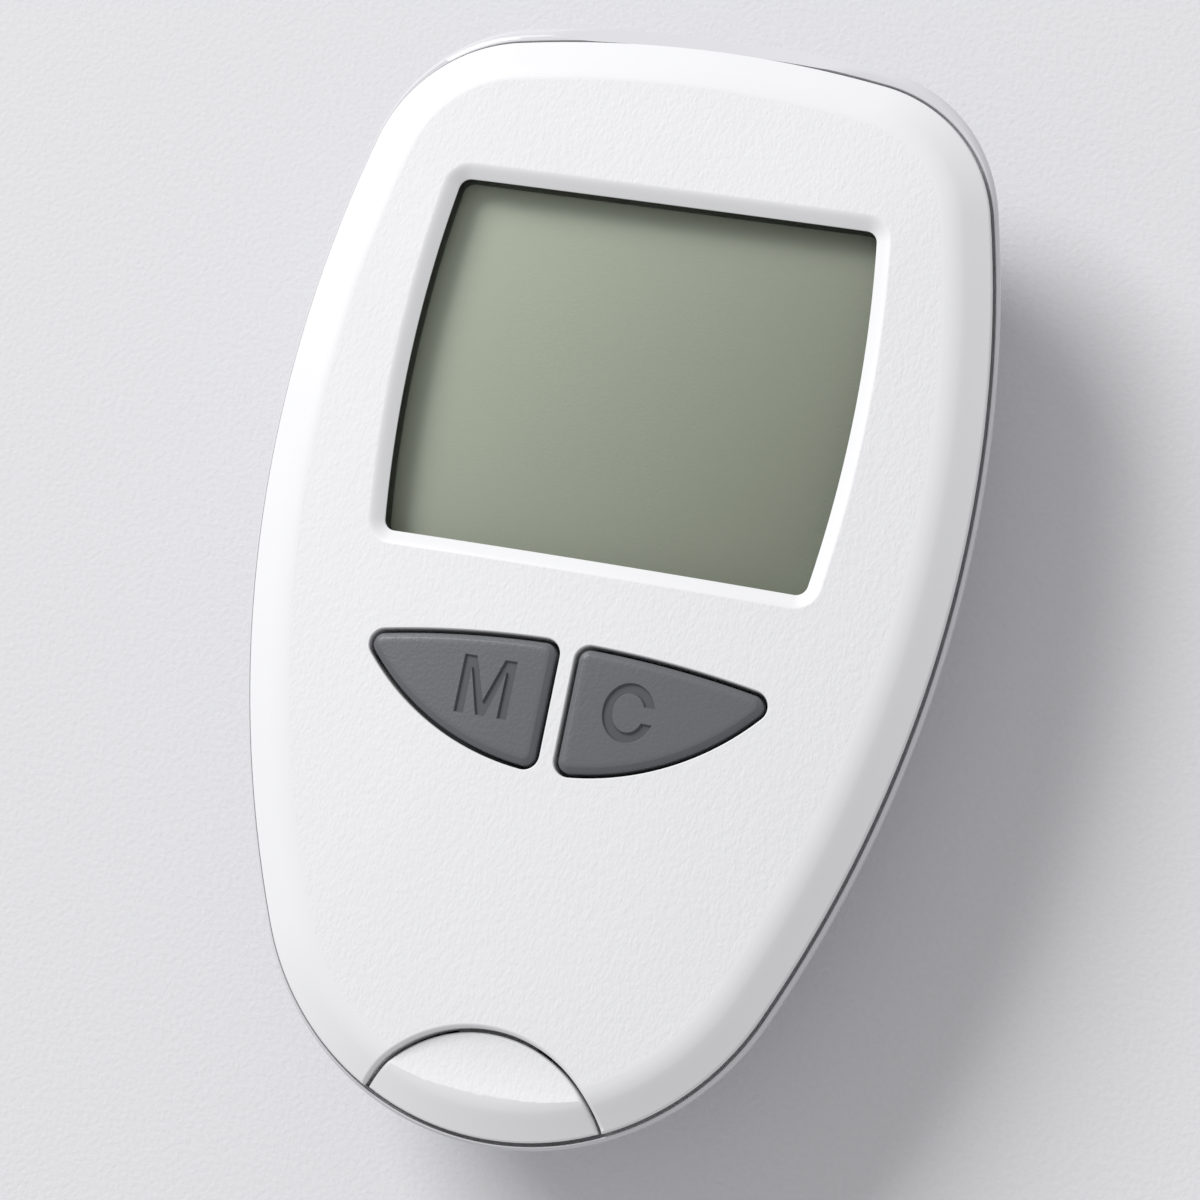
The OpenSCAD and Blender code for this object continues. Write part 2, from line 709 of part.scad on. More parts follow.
module strip_connector() {
    z = board_top;
    color("ivory")
        difference() {
            block([-connector_w / 2, connector_low_y, z],
                [connector_w / 2, connector_high_y, z + connector_h]);
            // Path of the strip
            block([-slot_w / 2, connector_low_y - 1, strip_z - slot_h / 2],
                [slot_w / 2, connector_high_y + 1, strip_z + slot_h / 2]);
            // Windows over the contact leaves
            for (i = [-2:2])
                block([i * contact_pitch - contact_w / 2 - 0.15, connector_low_y + 1, strip_z],
                    [i * contact_pitch + contact_w / 2 + 0.15, connector_high_y - 1.4,
                        z + connector_h + 1]);
        }
}

module strip_contacts() {
    color("gold")
        for (i = [-2:2])
            translate([i * contact_pitch - contact_w / 2, 0, 0])
                rotate([90, 0, 90])
                    linear_extrude(contact_w)
                        polygon([
                            [connector_low_y + 1.1, board_top + connector_h - 0.05],
                            [connector_low_y + 1.1, board_top + connector_h - 0.25],
                            [connector_high_y - 3.6, strip_z + 0.45],
                            [connector_high_y - 2.8, strip_z + 0.12],
                            [connector_high_y - 2.0, strip_z + 0.45],
                            [connector_high_y - 2.0, strip_z + 0.65],
                            [connector_high_y - 2.8, strip_z + 0.34],
                            [connector_high_y - 3.4, strip_z + 0.65]]);
}

module tact_switch(side) {
    translate([side * key_x, key_y, 0]) {
        difference() {
            block([-2.6, -2.6, board_top], [2.6, 2.6, board_top + switch_t]);
            translate([0, 0, board_top + 0.7 - key_travel])
                cylinder(h = 3, d = 2.2);
        }
    }
}

module switch_plunger(side) {
    color("black")
        translate([side * key_x, key_y, key_stem_z - plunger_l])
            cylinder(h = plunger_l, d = 2);
}

module memory_switch() {
    color("silver") tact_switch(-1);
}

module control_switch() {
    color("silver") tact_switch(1);
}

module memory_plunger() {
    switch_plunger(-1);
}

module control_plunger() {
    switch_plunger(1);
}

// A key: crowned cap, flange under the cover and a stem over the switch
module key_cap(side) {
    g = -key_gap;
    loft([
        key_ring(side, g, key_flange_z + key_flange_t / 2),
        key_ring(side, g, key_face_z - 0.15),
        key_ring(side, g - 0.08, key_face_z + key_proud * 0.25),
        key_ring(side, g - 0.3, key_face_z + key_proud * 0.65),
        key_ring(side, g - 0.7, key_top_z - 0.03),
        key_ring(side, g - 0.9, key_top_z)]);
    translate([0, 0, key_flange_z])
        linear_extrude(key_flange_t)
            key_shape(side, 0.6, bridge_w / 2 - 0.15);
    translate([side * key_x, key_y, key_stem_z])
        cylinder(h = key_flange_z - key_stem_z + 0.2, d = 3);
}

module memory_key() {
    color("dimgray") key_cap(-1);
}

module control_key() {
    color("dimgray") key_cap(1);
}

// Ejector button: crescent cap in the cover's own form with a finger dish, guide block and wedge
module eject_button() {
    color("gainsboro") {
        difference() {
            intersection() {
                cover_skin(eject_drop, eject_gap, eject_drop + 0.1);
                translate([0, eject_y, part_z - 1])
                    cylinder(h = 9, r = eject_r - eject_gap);
            }
            translate([-eject_r, dish_y, dish_z])
                rotate([0, 90, 0])
                    cylinder(h = 2 * eject_r, r = dish_r, $fn = 192);
        }
        intersection() {
            translate([0, eject_y, eject_block_z])
                cylinder(h = part_z + 0.3 - eject_block_z, r = eject_r - eject_gap - 1.2);
            egg_plate(-case_wall - 2.1, eject_block_z, part_z + 0.3 - eject_block_z);
        }
        // Tab that holds the button under the cover
        block([-3.4, low_y + eject_h - 2.4, part_z - 1.1],
            [3.4, low_y + eject_h + 0.9, part_z - 0.2]);
        // Wedge that drives the bar
        translate([-bar_w / 2, 0, 0])
            rotate([90, 0, 90])
                linear_extrude(bar_w)
                    polygon([
                        [bar_low_y - 1.6, eject_block_z + 1],
                        [bar_low_y - 1.6, bar_z - 0.2],
                        [bar_low_y - fit - 0.4, bar_z - 0.2],
                        [bar_low_y - fit + bar_ratio * (eject_block_z + 0.4 - bar_z),
                            eject_block_z + 0.4],
                        [bar_low_y - fit + bar_ratio * (eject_block_z + 0.4 - bar_z),
                            eject_block_z + 1]]);
    }
}

// Ejector bar: ramp at the grip end, finger that reaches up behind the strip
module eject_bar() {
    color("white") {
        translate([-bar_w / 2, 0, 0])
            rotate([90, 0, 90])
                linear_extrude(bar_w)
                    polygon([
                        [bar_low_y, bar_z],
                        [bar_high_y, bar_z],
                        [bar_high_y, strip_z + slot_h / 2 - 0.1],
                        [bar_high_y - finger_w, strip_z + slot_h / 2 - 0.1],
                        [bar_high_y - finger_w, bar_z + bar_t],
                        [bar_low_y + bar_ratio * bar_t, bar_z + bar_t]]);
    }
}

// A coil of round wire about Z: r0 and r1 are its end radii, rising from z0 by len
function coil_pt(t, r0, r1, turns, rise, w, a) =
    let (r = r0 + (r1 - r0) * t + w * cos(a), q = 360 * turns * t)
    [r * cos(q), r * sin(q), w + (rise - 2 * w) * t + w * sin(a)];

module coil(r0, r1, turns, rise, w, steps = 12, sides = 5) {
    m = round(turns * steps);
    polyhedron(
        points = [for (j = [0:m], i = [0:sides - 1])
            coil_pt(j / m, r0, r1, turns, rise, w, i * 360 / sides)],
        faces = concat([[for (i = [sides - 1:-1:0]) i]],
            [for (j = [0:m - 1], i = [0:sides - 1])
                [j * sides + i, (j + 1) * sides + (i + 1) % sides, (j + 1) * sides + i]],
            [for (j = [0:m - 1], i = [0:sides - 1])
                [j * sides + i, j * sides + (i + 1) % sides, (j + 1) * sides + (i + 1) % sides]],
            [[for (i = [0:sides - 1]) m * sides + i]]));
}

module eject_springs() {
    color("silver")
        for (side = [-1, 1])
            translate([side * spring_x, spring_y, eject_seat_z + 0.05])
                coil(spring_d / 2 - spring_wire / 2, spring_d / 2 - spring_wire / 2, 4,
                    eject_block_z - eject_seat_z - 0.1, spring_wire / 2, 10);
}

// Cells lie side by side in opposite directions; dir is 1 with the cap toward +Y
module cell(side, dir) {
    y0 = dir > 0 ? bay_high_y - plate_t - 0.1 : bay_low_y + plate_t + 0.1;
    translate([side * cell_x, y0, cell_z])
        rotate([dir * 90, 0, 0]) {
            translate([0, 0, 1])
                cylinder(h = cell_l - 1, d = cell_d);
            cylinder(h = 1.1, d = cell_cap_d);
        }
}

module cell_left() {
    color("silver") cell(-1, 1);
}

module cell_right() {
    color("silver") cell(1, -1);
}

module cell_springs() {
    color("silver") {
        translate([-cell_x, bay_low_y + plate_t + 0.05, cell_z])
            rotate([-90, 0, 0])
                coil(cell_coil_r0, cell_coil_r1, 3, cell_spring_l + fit, cell_wire / 2);
        translate([cell_x, bay_high_y - plate_t - 0.05, cell_z])
            rotate([90, 0, 0])
                coil(cell_coil_r0, cell_coil_r1, 3, cell_spring_l + fit, cell_wire / 2);
    }
}

module cell_plates() {
    color("silver")
        for (side = [-1, 1], y = [bay_low_y + plate_t / 2, bay_high_y - plate_t / 2])
            translate([side * cell_x, y, cell_z])
                cube([cell_plate_w, plate_t - 0.04, cell_plate_w + 0.4], center = true);
}

// Battery door: a slice of the case skin with a tongue down each side
module battery_door() {
    color("whitesmoke") {
        difference() {
            intersection() {
                case_skin();
                union() {
                    block([-door_w / 2, low_y - 5, -1], [door_w / 2, door_high_y, door_t]);
                    block([-door_w / 2 - tongue_w, low_y - 5, tongue_z],
                        [door_w / 2 + tongue_w, door_high_y - 2, tongue_z + 0.6]);
                }
            }
            // Grip grooves for the thumb
            for (i = [0:4])
                translate([0, bay_low_y + 6 + i * 2, -0.35])
                    rotate([0, 90, 0])
                        cylinder(h = 12, d = 1.3, center = true);
            // Slits on both sides free the leg of the catch
            for (side = [-1, 1])
                block([side * 3.4 - 0.4, door_high_y - 8, -1], [side * 3.4 + 0.4, door_high_y + 1, 3]);
        }
        // Catch nose
        block([-2.8, door_high_y - 0.3, 0.6], [2.8, door_high_y + 0.8, door_t - 0.05]);
    }
}

module screw(d, head_d, len, head_t) {
    difference() {
        union() {
            cylinder(h = head_t, d = head_d);
            cylinder(h = len, d = d);
        }
        // Cross recess
        for (a = [0, 90])
            rotate([0, 0, a])
                translate([0, 0, head_t * 0.2])
                    cube([head_d * 0.6, 0.45, head_t * 0.9], center = true);
    }
}

module case_screws() {
    color("silver")
        for (b = BOSSES)
            translate([b[0], b[1], screw_seat_z - screw_head_t])
                screw(screw_d, screw_head_d,
                    boss_split_z + screw_grip - screw_seat_z + screw_head_t, screw_head_t);
}

module board_screws() {
    color("silver")
        for (side = [-1, 1])
            translate([side * standoff_x, standoff_y, board_top + board_head_t])
                rotate([180, 0, 0])
                    screw(board_screw_d, board_head_d, board_t + board_head_t + board_grip,
                        board_head_t);
}

front_cover();
rear_case();
display_window();
lcd_polariser();
lcd_glass();
lcd_reflector();
lcd_holder();
zebra_strip();
circuit_board();
processor();
memory_chip();
crystal();
buzzer();
strip_connector();
strip_contacts();
memory_switch();
control_switch();
memory_plunger();
control_plunger();
memory_key();
control_key();
eject_button();
eject_bar();
eject_springs();
cell_left();
cell_right();
cell_springs();
cell_plates();
battery_door();
case_screws();
board_screws();
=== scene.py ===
"""Looks of a handheld blood glucose meter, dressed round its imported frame.

Sizes in the classes are millimetres, as on a drawing, and every mesh is in metres.
X runs across the meter, Y toward the strip port and Z out of the display.
"""

import json
import logging
import math
from collections.abc import Callable, Iterator, Sequence
from contextlib import contextmanager
from dataclasses import dataclass, field
from enum import Enum

import bpy
import numpy as np
from mathutils import Matrix, Vector
from mathutils.bvhtree import BVHTree

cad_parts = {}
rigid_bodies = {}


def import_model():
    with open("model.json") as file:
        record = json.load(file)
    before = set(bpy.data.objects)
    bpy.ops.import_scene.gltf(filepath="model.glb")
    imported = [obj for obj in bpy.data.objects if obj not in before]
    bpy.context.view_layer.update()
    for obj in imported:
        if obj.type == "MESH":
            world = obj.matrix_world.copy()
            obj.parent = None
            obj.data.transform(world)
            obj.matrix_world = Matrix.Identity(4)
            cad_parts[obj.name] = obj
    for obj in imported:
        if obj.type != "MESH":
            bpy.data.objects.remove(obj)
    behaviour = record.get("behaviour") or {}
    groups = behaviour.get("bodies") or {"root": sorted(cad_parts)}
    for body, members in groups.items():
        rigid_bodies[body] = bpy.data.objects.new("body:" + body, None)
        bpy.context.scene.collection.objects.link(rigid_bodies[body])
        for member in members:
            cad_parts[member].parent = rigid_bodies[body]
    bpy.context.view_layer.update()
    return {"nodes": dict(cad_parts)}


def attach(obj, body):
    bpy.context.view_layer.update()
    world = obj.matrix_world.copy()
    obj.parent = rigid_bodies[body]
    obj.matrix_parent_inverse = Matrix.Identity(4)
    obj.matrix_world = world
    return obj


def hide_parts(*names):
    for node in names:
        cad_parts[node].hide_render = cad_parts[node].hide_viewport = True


log = logging.getLogger("meter")

MM = 0.001
TURN = 360
ACROSS = (0, math.pi / 2, 0)  # lays an upright cylinder along X
CUT_Z = (14.0, 23.0)  # heights that every cutter through the cover spans

Point = tuple[float, float]
Profile = list[tuple[float, float]]
Ring = Sequence[Sequence[float]]
Outline = Callable[[float], list[Point]]
Values = dict[str | int, object]
Piece = bpy.types.Object
Tree = bpy.types.NodeTree
Socket = bpy.types.NodeSocket


class Join(Enum):
    """How a boolean tool acts on a piece."""

    CUT = "DIFFERENCE"
    ADD = "UNION"
    KEEP = "INTERSECT"


class Side(Enum):
    """Which side of the meter a mirrored piece is on."""

    LEFT = -1
    RIGHT = 1


# ---------------------------------------------------------------- modelling bench


class Bench:
    """Modelling steps made with Blender's own operators."""

    sliver = 4e-4  # area in square millimetres below which a face's slope counts for nothing
    steep = 0.35  # upward share of a normal below which a face isn't part of the skin

    @staticmethod
    def activate(piece: Piece) -> None:
        """Makes one piece the only selected and the active one."""
        bpy.ops.object.select_all(action="DESELECT")
        piece.select_set(True)
        bpy.context.view_layer.objects.active = piece

    @staticmethod
    def seat(piece: Piece, ring: Ring) -> None:
        """Puts the newest ring of vertices onto a ring of points in millimetres."""
        mesh = piece.data
        places = np.empty(len(mesh.vertices) * 3, np.float32)
        mesh.vertices.foreach_get("co", places)
        flat = np.asarray(ring, np.float32).ravel() * MM
        places[-len(flat) :] = flat
        mesh.vertices.foreach_set("co", places)
        mesh.update()

    @staticmethod
    def loft(name: str, rings: Sequence[Ring]) -> Piece:
        """Extrudes a filled circle from ring to ring into a closed form.

        Args:
            name: Name of the new piece.
            rings: Rings of equal length, in millimetres.

        Returns:
            The new piece, with its faces outward.
        """
        bpy.ops.object.select_all(action="DESELECT")
        bpy.ops.mesh.primitive_circle_add(
            vertices=len(rings[0]), radius=MM, fill_type="NGON", location=(0, 0, 0)
        )
        piece = bpy.context.active_object
        piece.name = piece.data.name = name
        Bench.seat(piece, rings[0])
        for ring in rings[1:]:
            bpy.ops.object.mode_set(mode="EDIT")
            bpy.ops.mesh.extrude_region_move()
            bpy.ops.object.mode_set(mode="OBJECT")
            Bench.seat(piece, ring)
        Bench.outward(piece)
        return piece

    @staticmethod
    @contextmanager
    def editing(piece: Piece, action: str) -> Iterator[None]:
        """Edit mode on one piece, with all of it selected or nothing."""
        Bench.activate(piece)
        bpy.ops.object.mode_set(mode="EDIT")
        bpy.ops.mesh.select_all(action=action)
        yield
        bpy.ops.mesh.select_all(action="DESELECT")
        bpy.ops.object.mode_set(mode="OBJECT")

    @staticmethod
    def outward(piece: Piece) -> None:
        """Turns every face of a closed piece outward."""
        with Bench.editing(piece, "SELECT"):
            bpy.ops.mesh.normals_make_consistent(inside=False)

    @staticmethod
    def prism(name: str, points: Sequence[Point], low: float, high: float) -> Piece:
        """An outline raised straight up from one height to another."""
        return Bench.loft(name, [[(x, y, z) for x, y in points] for z in (low, high)])

    @staticmethod
    def block(name: str, low: Sequence[float], high: Sequence[float]) -> Piece:
        """A box between two corners, for cutting and for walls inside."""
        size = [(b - a) * MM for a, b in zip(low, high)]
        middle = [(a + b) / 2 * MM for a, b in zip(low, high)]
        bpy.ops.object.select_all(action="DESELECT")
        bpy.ops.mesh.primitive_cube_add(size=1, location=middle)
        piece = bpy.context.active_object
        piece.scale = size
        bpy.ops.object.transform_apply()
        piece.name = piece.data.name = name
        return piece

    @staticmethod
    def slab(name: str, half_w: float, y: Point, z: Point) -> Piece:
        """A box that is even about the middle of the meter, between two Y and two Z."""
        return Bench.block(name, (-half_w, y[0], z[0]), (half_w, y[1], z[1]))

    @staticmethod
    def drum(
        name: str,
        centre: Sequence[float],
        radius: float,
        height: float,
        sides: int = 64,
        turn: Sequence[float] = (0, 0, 0),
    ) -> Piece:
        """A cylinder that stands on its centre point, turned about it."""
        bpy.ops.object.select_all(action="DESELECT")
        bpy.ops.mesh.primitive_cylinder_add(
            vertices=sides, radius=radius * MM, depth=height * MM, location=(0, 0, height / 2 * MM)
        )
        piece = bpy.context.active_object
        bpy.ops.object.transform_apply()
        piece.rotation_euler = turn
        piece.location = [c * MM for c in centre]
        bpy.ops.object.transform_apply()
        piece.name = piece.data.name = name
        return piece

    @staticmethod
    def apply(piece: Piece, kind: str, **settings: object) -> None:
        """Adds one modifier with its settings and applies it."""
        Bench.activate(piece)
        modifier = piece.modifiers.new(kind, kind)
        for key, value in settings.items():
            setattr(modifier, key, value)
        bpy.ops.object.modifier_apply(modifier=modifier.name)

    @staticmethod
    def join(piece: Piece, how: Join, *tools: Piece) -> None:
        """Cuts, adds or keeps the volume of each tool, and removes the tools."""
        for tool in tools:
            Bench.apply(piece, "BOOLEAN", operation=how.value, solver="EXACT", object=tool)
            bpy.data.objects.remove(tool)

    @staticmethod
    def finish(piece: Piece, sharp: float = 32.0) -> None:
        """Merges loose doubles and shades a piece smooth between its sharp edges."""
        with Bench.editing(piece, "SELECT"):
            bpy.ops.mesh.remove_doubles(threshold=0.002 * MM)
        bpy.ops.object.shade_smooth_by_angle(angle=math.radians(sharp))

    @staticmethod
    def lead_by_area(piece: Piece) -> None:
        """Lets the large faces lead the smooth shading, up to the sharp edges."""
        Bench.apply(piece, "WEIGHTED_NORMAL", mode="FACE_AREA", weight=50, keep_sharp=True)

    @staticmethod
    def twin(piece: Piece) -> Piece:
        """A finished copy of a piece as it is now, to take shading from."""
        Bench.activate(piece)
        bpy.ops.object.duplicate()
        copy = bpy.context.active_object
        Bench.finish(copy)
        return copy

    @staticmethod
    def shade_like(piece: Piece, skin: Piece, reach: float = 0.02) -> None:
        """Takes the shading of an uncut skin wherever a piece still follows it.

        Args:
            piece: The cut piece.
            skin: Its skin before the cuts, which is removed at the end.
            reach: Farthest distance from the skin in millimetres.
        """
        steepest = [1.0] * len(piece.data.vertices)
        for face in piece.data.polygons:
            if face.area < Bench.sliver * MM * MM:
                continue
            for index in face.vertices:
                steepest[index] = min(steepest[index], face.normal.z)
        tree = BVHTree.FromObject(skin, bpy.context.evaluated_depsgraph_get())
        group = piece.vertex_groups.new(name="on_skin")
        for vertex in piece.data.vertices:
            flat = steepest[vertex.index] > Bench.steep
            if flat and tree.find_nearest(vertex.co)[3] < reach * MM:
                group.add([vertex.index], 1.0, "REPLACE")
        Bench.apply(
            piece,
            "DATA_TRANSFER",
            object=skin,
            use_loop_data=True,
            data_types_loops={"CUSTOM_NORMAL"},
            loop_mapping="POLYINTERP_NEAREST",
            vertex_group=group.name,
        )
        piece.vertex_groups.clear()
        bpy.data.objects.remove(skin)

    @staticmethod
    def crease_border(piece: Piece, slot: int) -> None:
        """Makes the border of one material's faces a sharp edge."""
        piece.active_material_index = slot
        with Bench.editing(piece, "DESELECT"):
            bpy.ops.object.material_slot_select()
            bpy.ops.mesh.region_to_loop()
            bpy.ops.mesh.mark_sharp()


class Surface:
    """The top of a skin, looked down on."""

    near_z = 0.018  # height in metres from which the nearest point is taken beside the skin

    def __init__(self, piece: Piece) -> None:
        """Keeps a search tree of the piece as it is now."""
        self.tree = BVHTree.FromObject(piece, bpy.context.evaluated_depsgraph_get())

    def height(self, x: float, y: float) -> float:
        """Height of the skin over a point, in millimetres."""
        hit = self.tree.ray_cast(Vector((x * MM, y * MM, 1)), Vector((0, 0, -1)))[0]
        if hit is None:
            hit = self.tree.find_nearest(Vector((x * MM, y * MM, self.near_z)))[0]
        return hit.z / MM


# ---------------------------------------------------------------- sizes and outlines


@dataclass(frozen=True)
class Sizes:
    """Named sizes of the meter, the same as in the part's source."""

    body_w: float = 60.2
    body_l: float = 93.7
    part_z: float = 16.4
    lip: float = 0.5
    nose_out: float = 1.3
    case_wall: float = 1.7
    case_floor: float = 2.0
    cover_wall: float = 1.5
    bevel_w: float = 4.0
    face_edge_h: float = 2.3
    crown_h: float = 1.2
    reveal_h: float = 0.3
    eject_h: float = 8.75
    eject_r: float = 11.3
    eject_gap: float = 0.3
    eject_drop: float = 0.35
    eject_travel: float = 1.2
    boss_r: float = 2.5
    bosses: tuple[Point, ...] = ((17.0, 38.3), (-17.0, 38.3), (15.9, -26.0), (-15.9, -26.0))

    @property
    def top_y(self) -> float:
        """Strip end of the cover."""
        return (self.body_l - self.nose_out) / 2

    @property
    def low_y(self) -> float:
        """Grip end of the cover."""
        return self.top_y - self.body_l

    @property
    def mid_y(self) -> float:
        """Middle of the cover."""
        return self.top_y - self.body_l / 2

    @property
    def eject_y(self) -> float:
        """Centre of the arc round the ejector button."""
        return self.low_y + self.eject_h - self.eject_r

    def face_h(self, scale: float) -> float:
        """Height of the crowned face over the parting line."""
        return self.face_edge_h + self.crown_h * (1 - scale * scale)


@dataclass(frozen=True)
class Station:
    """One ring of a skin: outward offset, height, extra reach of the nose and scale."""

    offset: float
    height: float
    nose: float = 0.0
    scale: float = 1.0

    def row(self) -> np.ndarray:
        """The four values as one row."""
        return np.array([self.offset, self.height, self.nose, self.scale])


def track(*rows: Sequence[float]) -> list[Station]:
    """Stations from rows of offset, height, nose reach and scale."""
    return [Station(*row) for row in rows]


def eased(stations: Sequence[Station], steps: int) -> list[Station]:
    """Puts steps on a smooth curve between stations.

    Args:
        stations: Stations that the curve passes through.
        steps: Number of spans between two stations.

    Returns:
        The stations with those between them, ends included.
    """
    rows = [s.row() for s in stations]
    rows = [2 * rows[0] - rows[1], *rows, 2 * rows[-1] - rows[-2]]
    made = []
    for a, b, c, d in zip(rows, rows[1:], rows[2:], rows[3:]):
        for t in (k / steps for k in range(steps)):
            squared = (2 * a - 5 * b + 4 * c - d) * t**2
            cubed = (3 * b - a - 3 * c + d) * t**3
            made.append(Station(*(0.5 * (2 * b + (c - a) * t + squared + cubed))))
    return [*made, stations[-1]]


@dataclass(frozen=True)
class Egg:
    """The body's outline: four tangent arcs on each side, given by headings in degrees."""

    sizes: Sizes = Sizes()
    nose_a: float = 9.3
    corner_a: float = 76.0
    side_a: float = 114.0
    nose_r: float = 100.0
    corner_r: float = 13.2
    end_r: float = 22.9
    arc_steps: tuple[int, int, int, int] = (8, 34, 34, 34)

    def headings(self) -> list[float]:
        """Headings at which one side of the outline is sampled."""
        ends = (0.0, self.nose_a, self.corner_a, self.side_a, 180.0)
        made = [
            a + (b - a) * i / n
            for a, b, n in zip(ends, ends[1:], self.arc_steps)
            for i in range(n)
        ]
        return [*made, 180.0]

    def knots(self) -> tuple[Point, Point, float, float]:
        """Where the corner and the side start, the side's radius and Y where the end starts."""
        nose, corner, side = map(math.radians, (self.nose_a, self.corner_a, self.side_a))
        s, c = math.sin, math.cos
        corner_x = self.nose_r * s(nose)
        side_x = corner_x + self.corner_r * (s(corner) - s(nose))
        side_r = (side_x - self.end_r * s(side)) / (s(corner) - s(side))
        corner_y = self.nose_r * (1 - c(nose))
        side_y = corner_y + self.corner_r * (c(nose) - c(corner))
        end_y = side_y + side_r * (c(corner) - c(side))
        return (corner_x, corner_y), (side_x, side_y), side_r, end_y

    def plain(self, heading: float) -> Point:
        """Point of the unscaled outline, from the nose's middle, with Y downward."""
        (corner_x, corner_y), (side_x, side_y), side_r, end_y = self.knots()
        turns = (self.nose_a, self.corner_a, self.side_a, heading)
        nose, corner, side, h = map(math.radians, turns)
        s, c = math.sin, math.cos
        if heading <= self.nose_a:
            return self.nose_r * s(h), self.nose_r * (1 - c(h))
        if heading <= self.corner_a:
            across, along = self.corner_r * (s(h) - s(nose)), self.corner_r * (c(nose) - c(h))
            return corner_x + across, corner_y + along
        if heading <= self.side_a:
            return side_x + side_r * (s(h) - s(corner)), side_y + side_r * (c(corner) - c(h))
        return self.end_r * s(h), end_y + self.end_r * (c(side) - c(h))

    def stretch(self) -> Point:
        """Scales of X and Y that bring the plain outline to the body's width and length."""
        _, (side_x, _), side_r, _ = self.knots()
        wide = 2 * (side_x + side_r * (1 - math.sin(math.radians(self.corner_a))))
        return self.sizes.body_w / wide, self.sizes.body_l / self.plain(180.0)[1]

    def ring(self, station: Station) -> np.ndarray:
        """The outline at one station.

        Args:
            station: Offset, height, nose reach and scale of the ring.

        Returns:
            Points clockwise from above, from the middle of the nose, in millimetres.
        """
        kx, ky = self.stretch()
        mid = self.sizes.mid_y
        right = []
        for h in self.headings():
            sin, cos = math.sin(math.radians(h)), math.cos(math.radians(h))
            nx, ny = sin / kx, cos / ky
            m = math.hypot(nx, ny)
            out = station.offset + station.nose * max(0.0, cos) ** 2
            x, y = self.plain(h)
            right.append(
                (
                    station.scale * (kx * x + out * nx / m),
                    mid + station.scale * (self.sizes.top_y - ky * y - mid + out * ny / m),
                    station.height,
                )
            )
        left = [(-x, y, z) for x, y, z in reversed(right[1:-1])]
        return np.array([*right, *left])

    def plate(self, offset: float, low: float, high: float) -> Piece:
        """The body's outline at one offset, raised from one height to another."""
        return Bench.loft("plate", [self.ring(Station(offset, z)) for z in (low, high)])


def arc(centre: Point, radius: float, start: float, end: float, steps: int) -> list[Point]:
    """Points on an arc, by compass headings in degrees, both ends included."""
    turns = [math.radians(start + (end - start) * i / steps) for i in range(steps + 1)]
    return [(centre[0] + radius * math.sin(a), centre[1] + radius * math.cos(a)) for a in turns]


def circle(centre: Point, radius: float, steps: int) -> list[Point]:
    """Points round a full circle."""
    return arc(centre, radius, 0, TURN, steps)[:-1]


@dataclass(frozen=True)
class WindowOutline:
    """Display window: straight ends, bulging sides and round corners."""

    centre_y: float = 16.1
    width: float = 36.4
    height: float = 31.3
    bulge: float = 1.1
    corner: float = 1.0
    corner_steps: int = 8
    side_steps: int = 28
    end_steps: int = 26

    def grown(self, g: float) -> list[Point]:
        """The outline grown by g, clockwise from the upper right corner."""
        half = self.height / 2
        side_r = (half * half + self.bulge**2) / (2 * self.bulge)
        side_x = self.width / 2 + self.bulge - side_r
        y = half - self.corner
        x = side_x + math.sqrt((side_r - self.corner) ** 2 - y * y)
        tilt = math.degrees(math.atan2(y, x - side_x))
        right = [
            *arc((x, y), self.corner + g, 0, 90 - tilt, self.corner_steps),
            *arc((side_x, 0), side_r + g, 90 - tilt, 90 + tilt, self.side_steps)[1:-1],
            *arc((x, -y), self.corner + g, 90 + tilt, 180, self.corner_steps),
        ]
        shares = [1 - 2 * k / self.end_steps for k in range(1, self.end_steps)]
        half_round = [*right, *[(x * share, -half - g) for share in shares]]
        made = [*half_round, *[(-px, -py) for px, py in half_round]]
        return [(px, py + self.centre_y) for px, py in made]


@dataclass(frozen=True)
class KeyOutline:
    """One of two keys: two arcs that meet at the outer corner, with each corner rounded."""

    side: Side
    top_y: float = -6.6
    width: float = 36.4
    depth: float = 11.1
    top_r: float = 94.0
    bridge: float = 1.3
    corner: float = 1.3

    def grown(self, g: float) -> list[Point]:
        """The outline grown by g."""
        sag = self.depth - self.width**2 / 8 / self.top_r
        low_r = (self.width**2 / 4 + sag * sag) / (2 * sag)
        top_c, low_c = self.top_y - self.top_r, self.top_y - self.depth + low_r
        r, rt, rl = self.corner + g, self.top_r - self.corner, low_r - self.corner
        x = self.bridge / 2 + self.corner
        yb = (rt * rt - rl * rl + low_c**2 - top_c**2) / (2 * (low_c - top_c))
        a = (x, top_c + math.sqrt(rt * rt - x * x))
        b = (math.sqrt(rt * rt - (yb - top_c) ** 2), yb)
        c = (x, low_c - math.sqrt(rl * rl - x * x))
        turn = lambda p, cy: math.degrees(math.atan2(p[0], p[1] - cy))
        at, bt, bl, cl = turn(a, top_c), turn(b, top_c), turn(b, low_c), turn(c, low_c)
        made = [
            *arc((0, top_c), rt + r, at, bt, 20),
            *arc(b, r, bt, bl, 12)[1:-1],
            *arc((0, low_c), rl + r, bl, cl, 24),
            *arc(c, r, cl, 270, 9)[1:],
            *arc(a, r, 270, TURN + at, 9)[:-1],
        ]
        if self.side is Side.LEFT:
            made = [(-px, py) for px, py in reversed(made)]
        return made


def roll(radius: float, flare: float = 1.25) -> Profile:
    """Profile of a rounded edge as growth and depth, which runs out just over the surface."""
    turns = [math.radians(a) for a in (0, 15, 30, 45, 58, 70, 81)]
    return [
        *[(radius * (1 - math.cos(a)), radius * (1 - math.sin(a))) for a in turns],
        (radius * 1.06, -radius * 0.014),
        (radius * flare, -radius * 0.12),
    ]


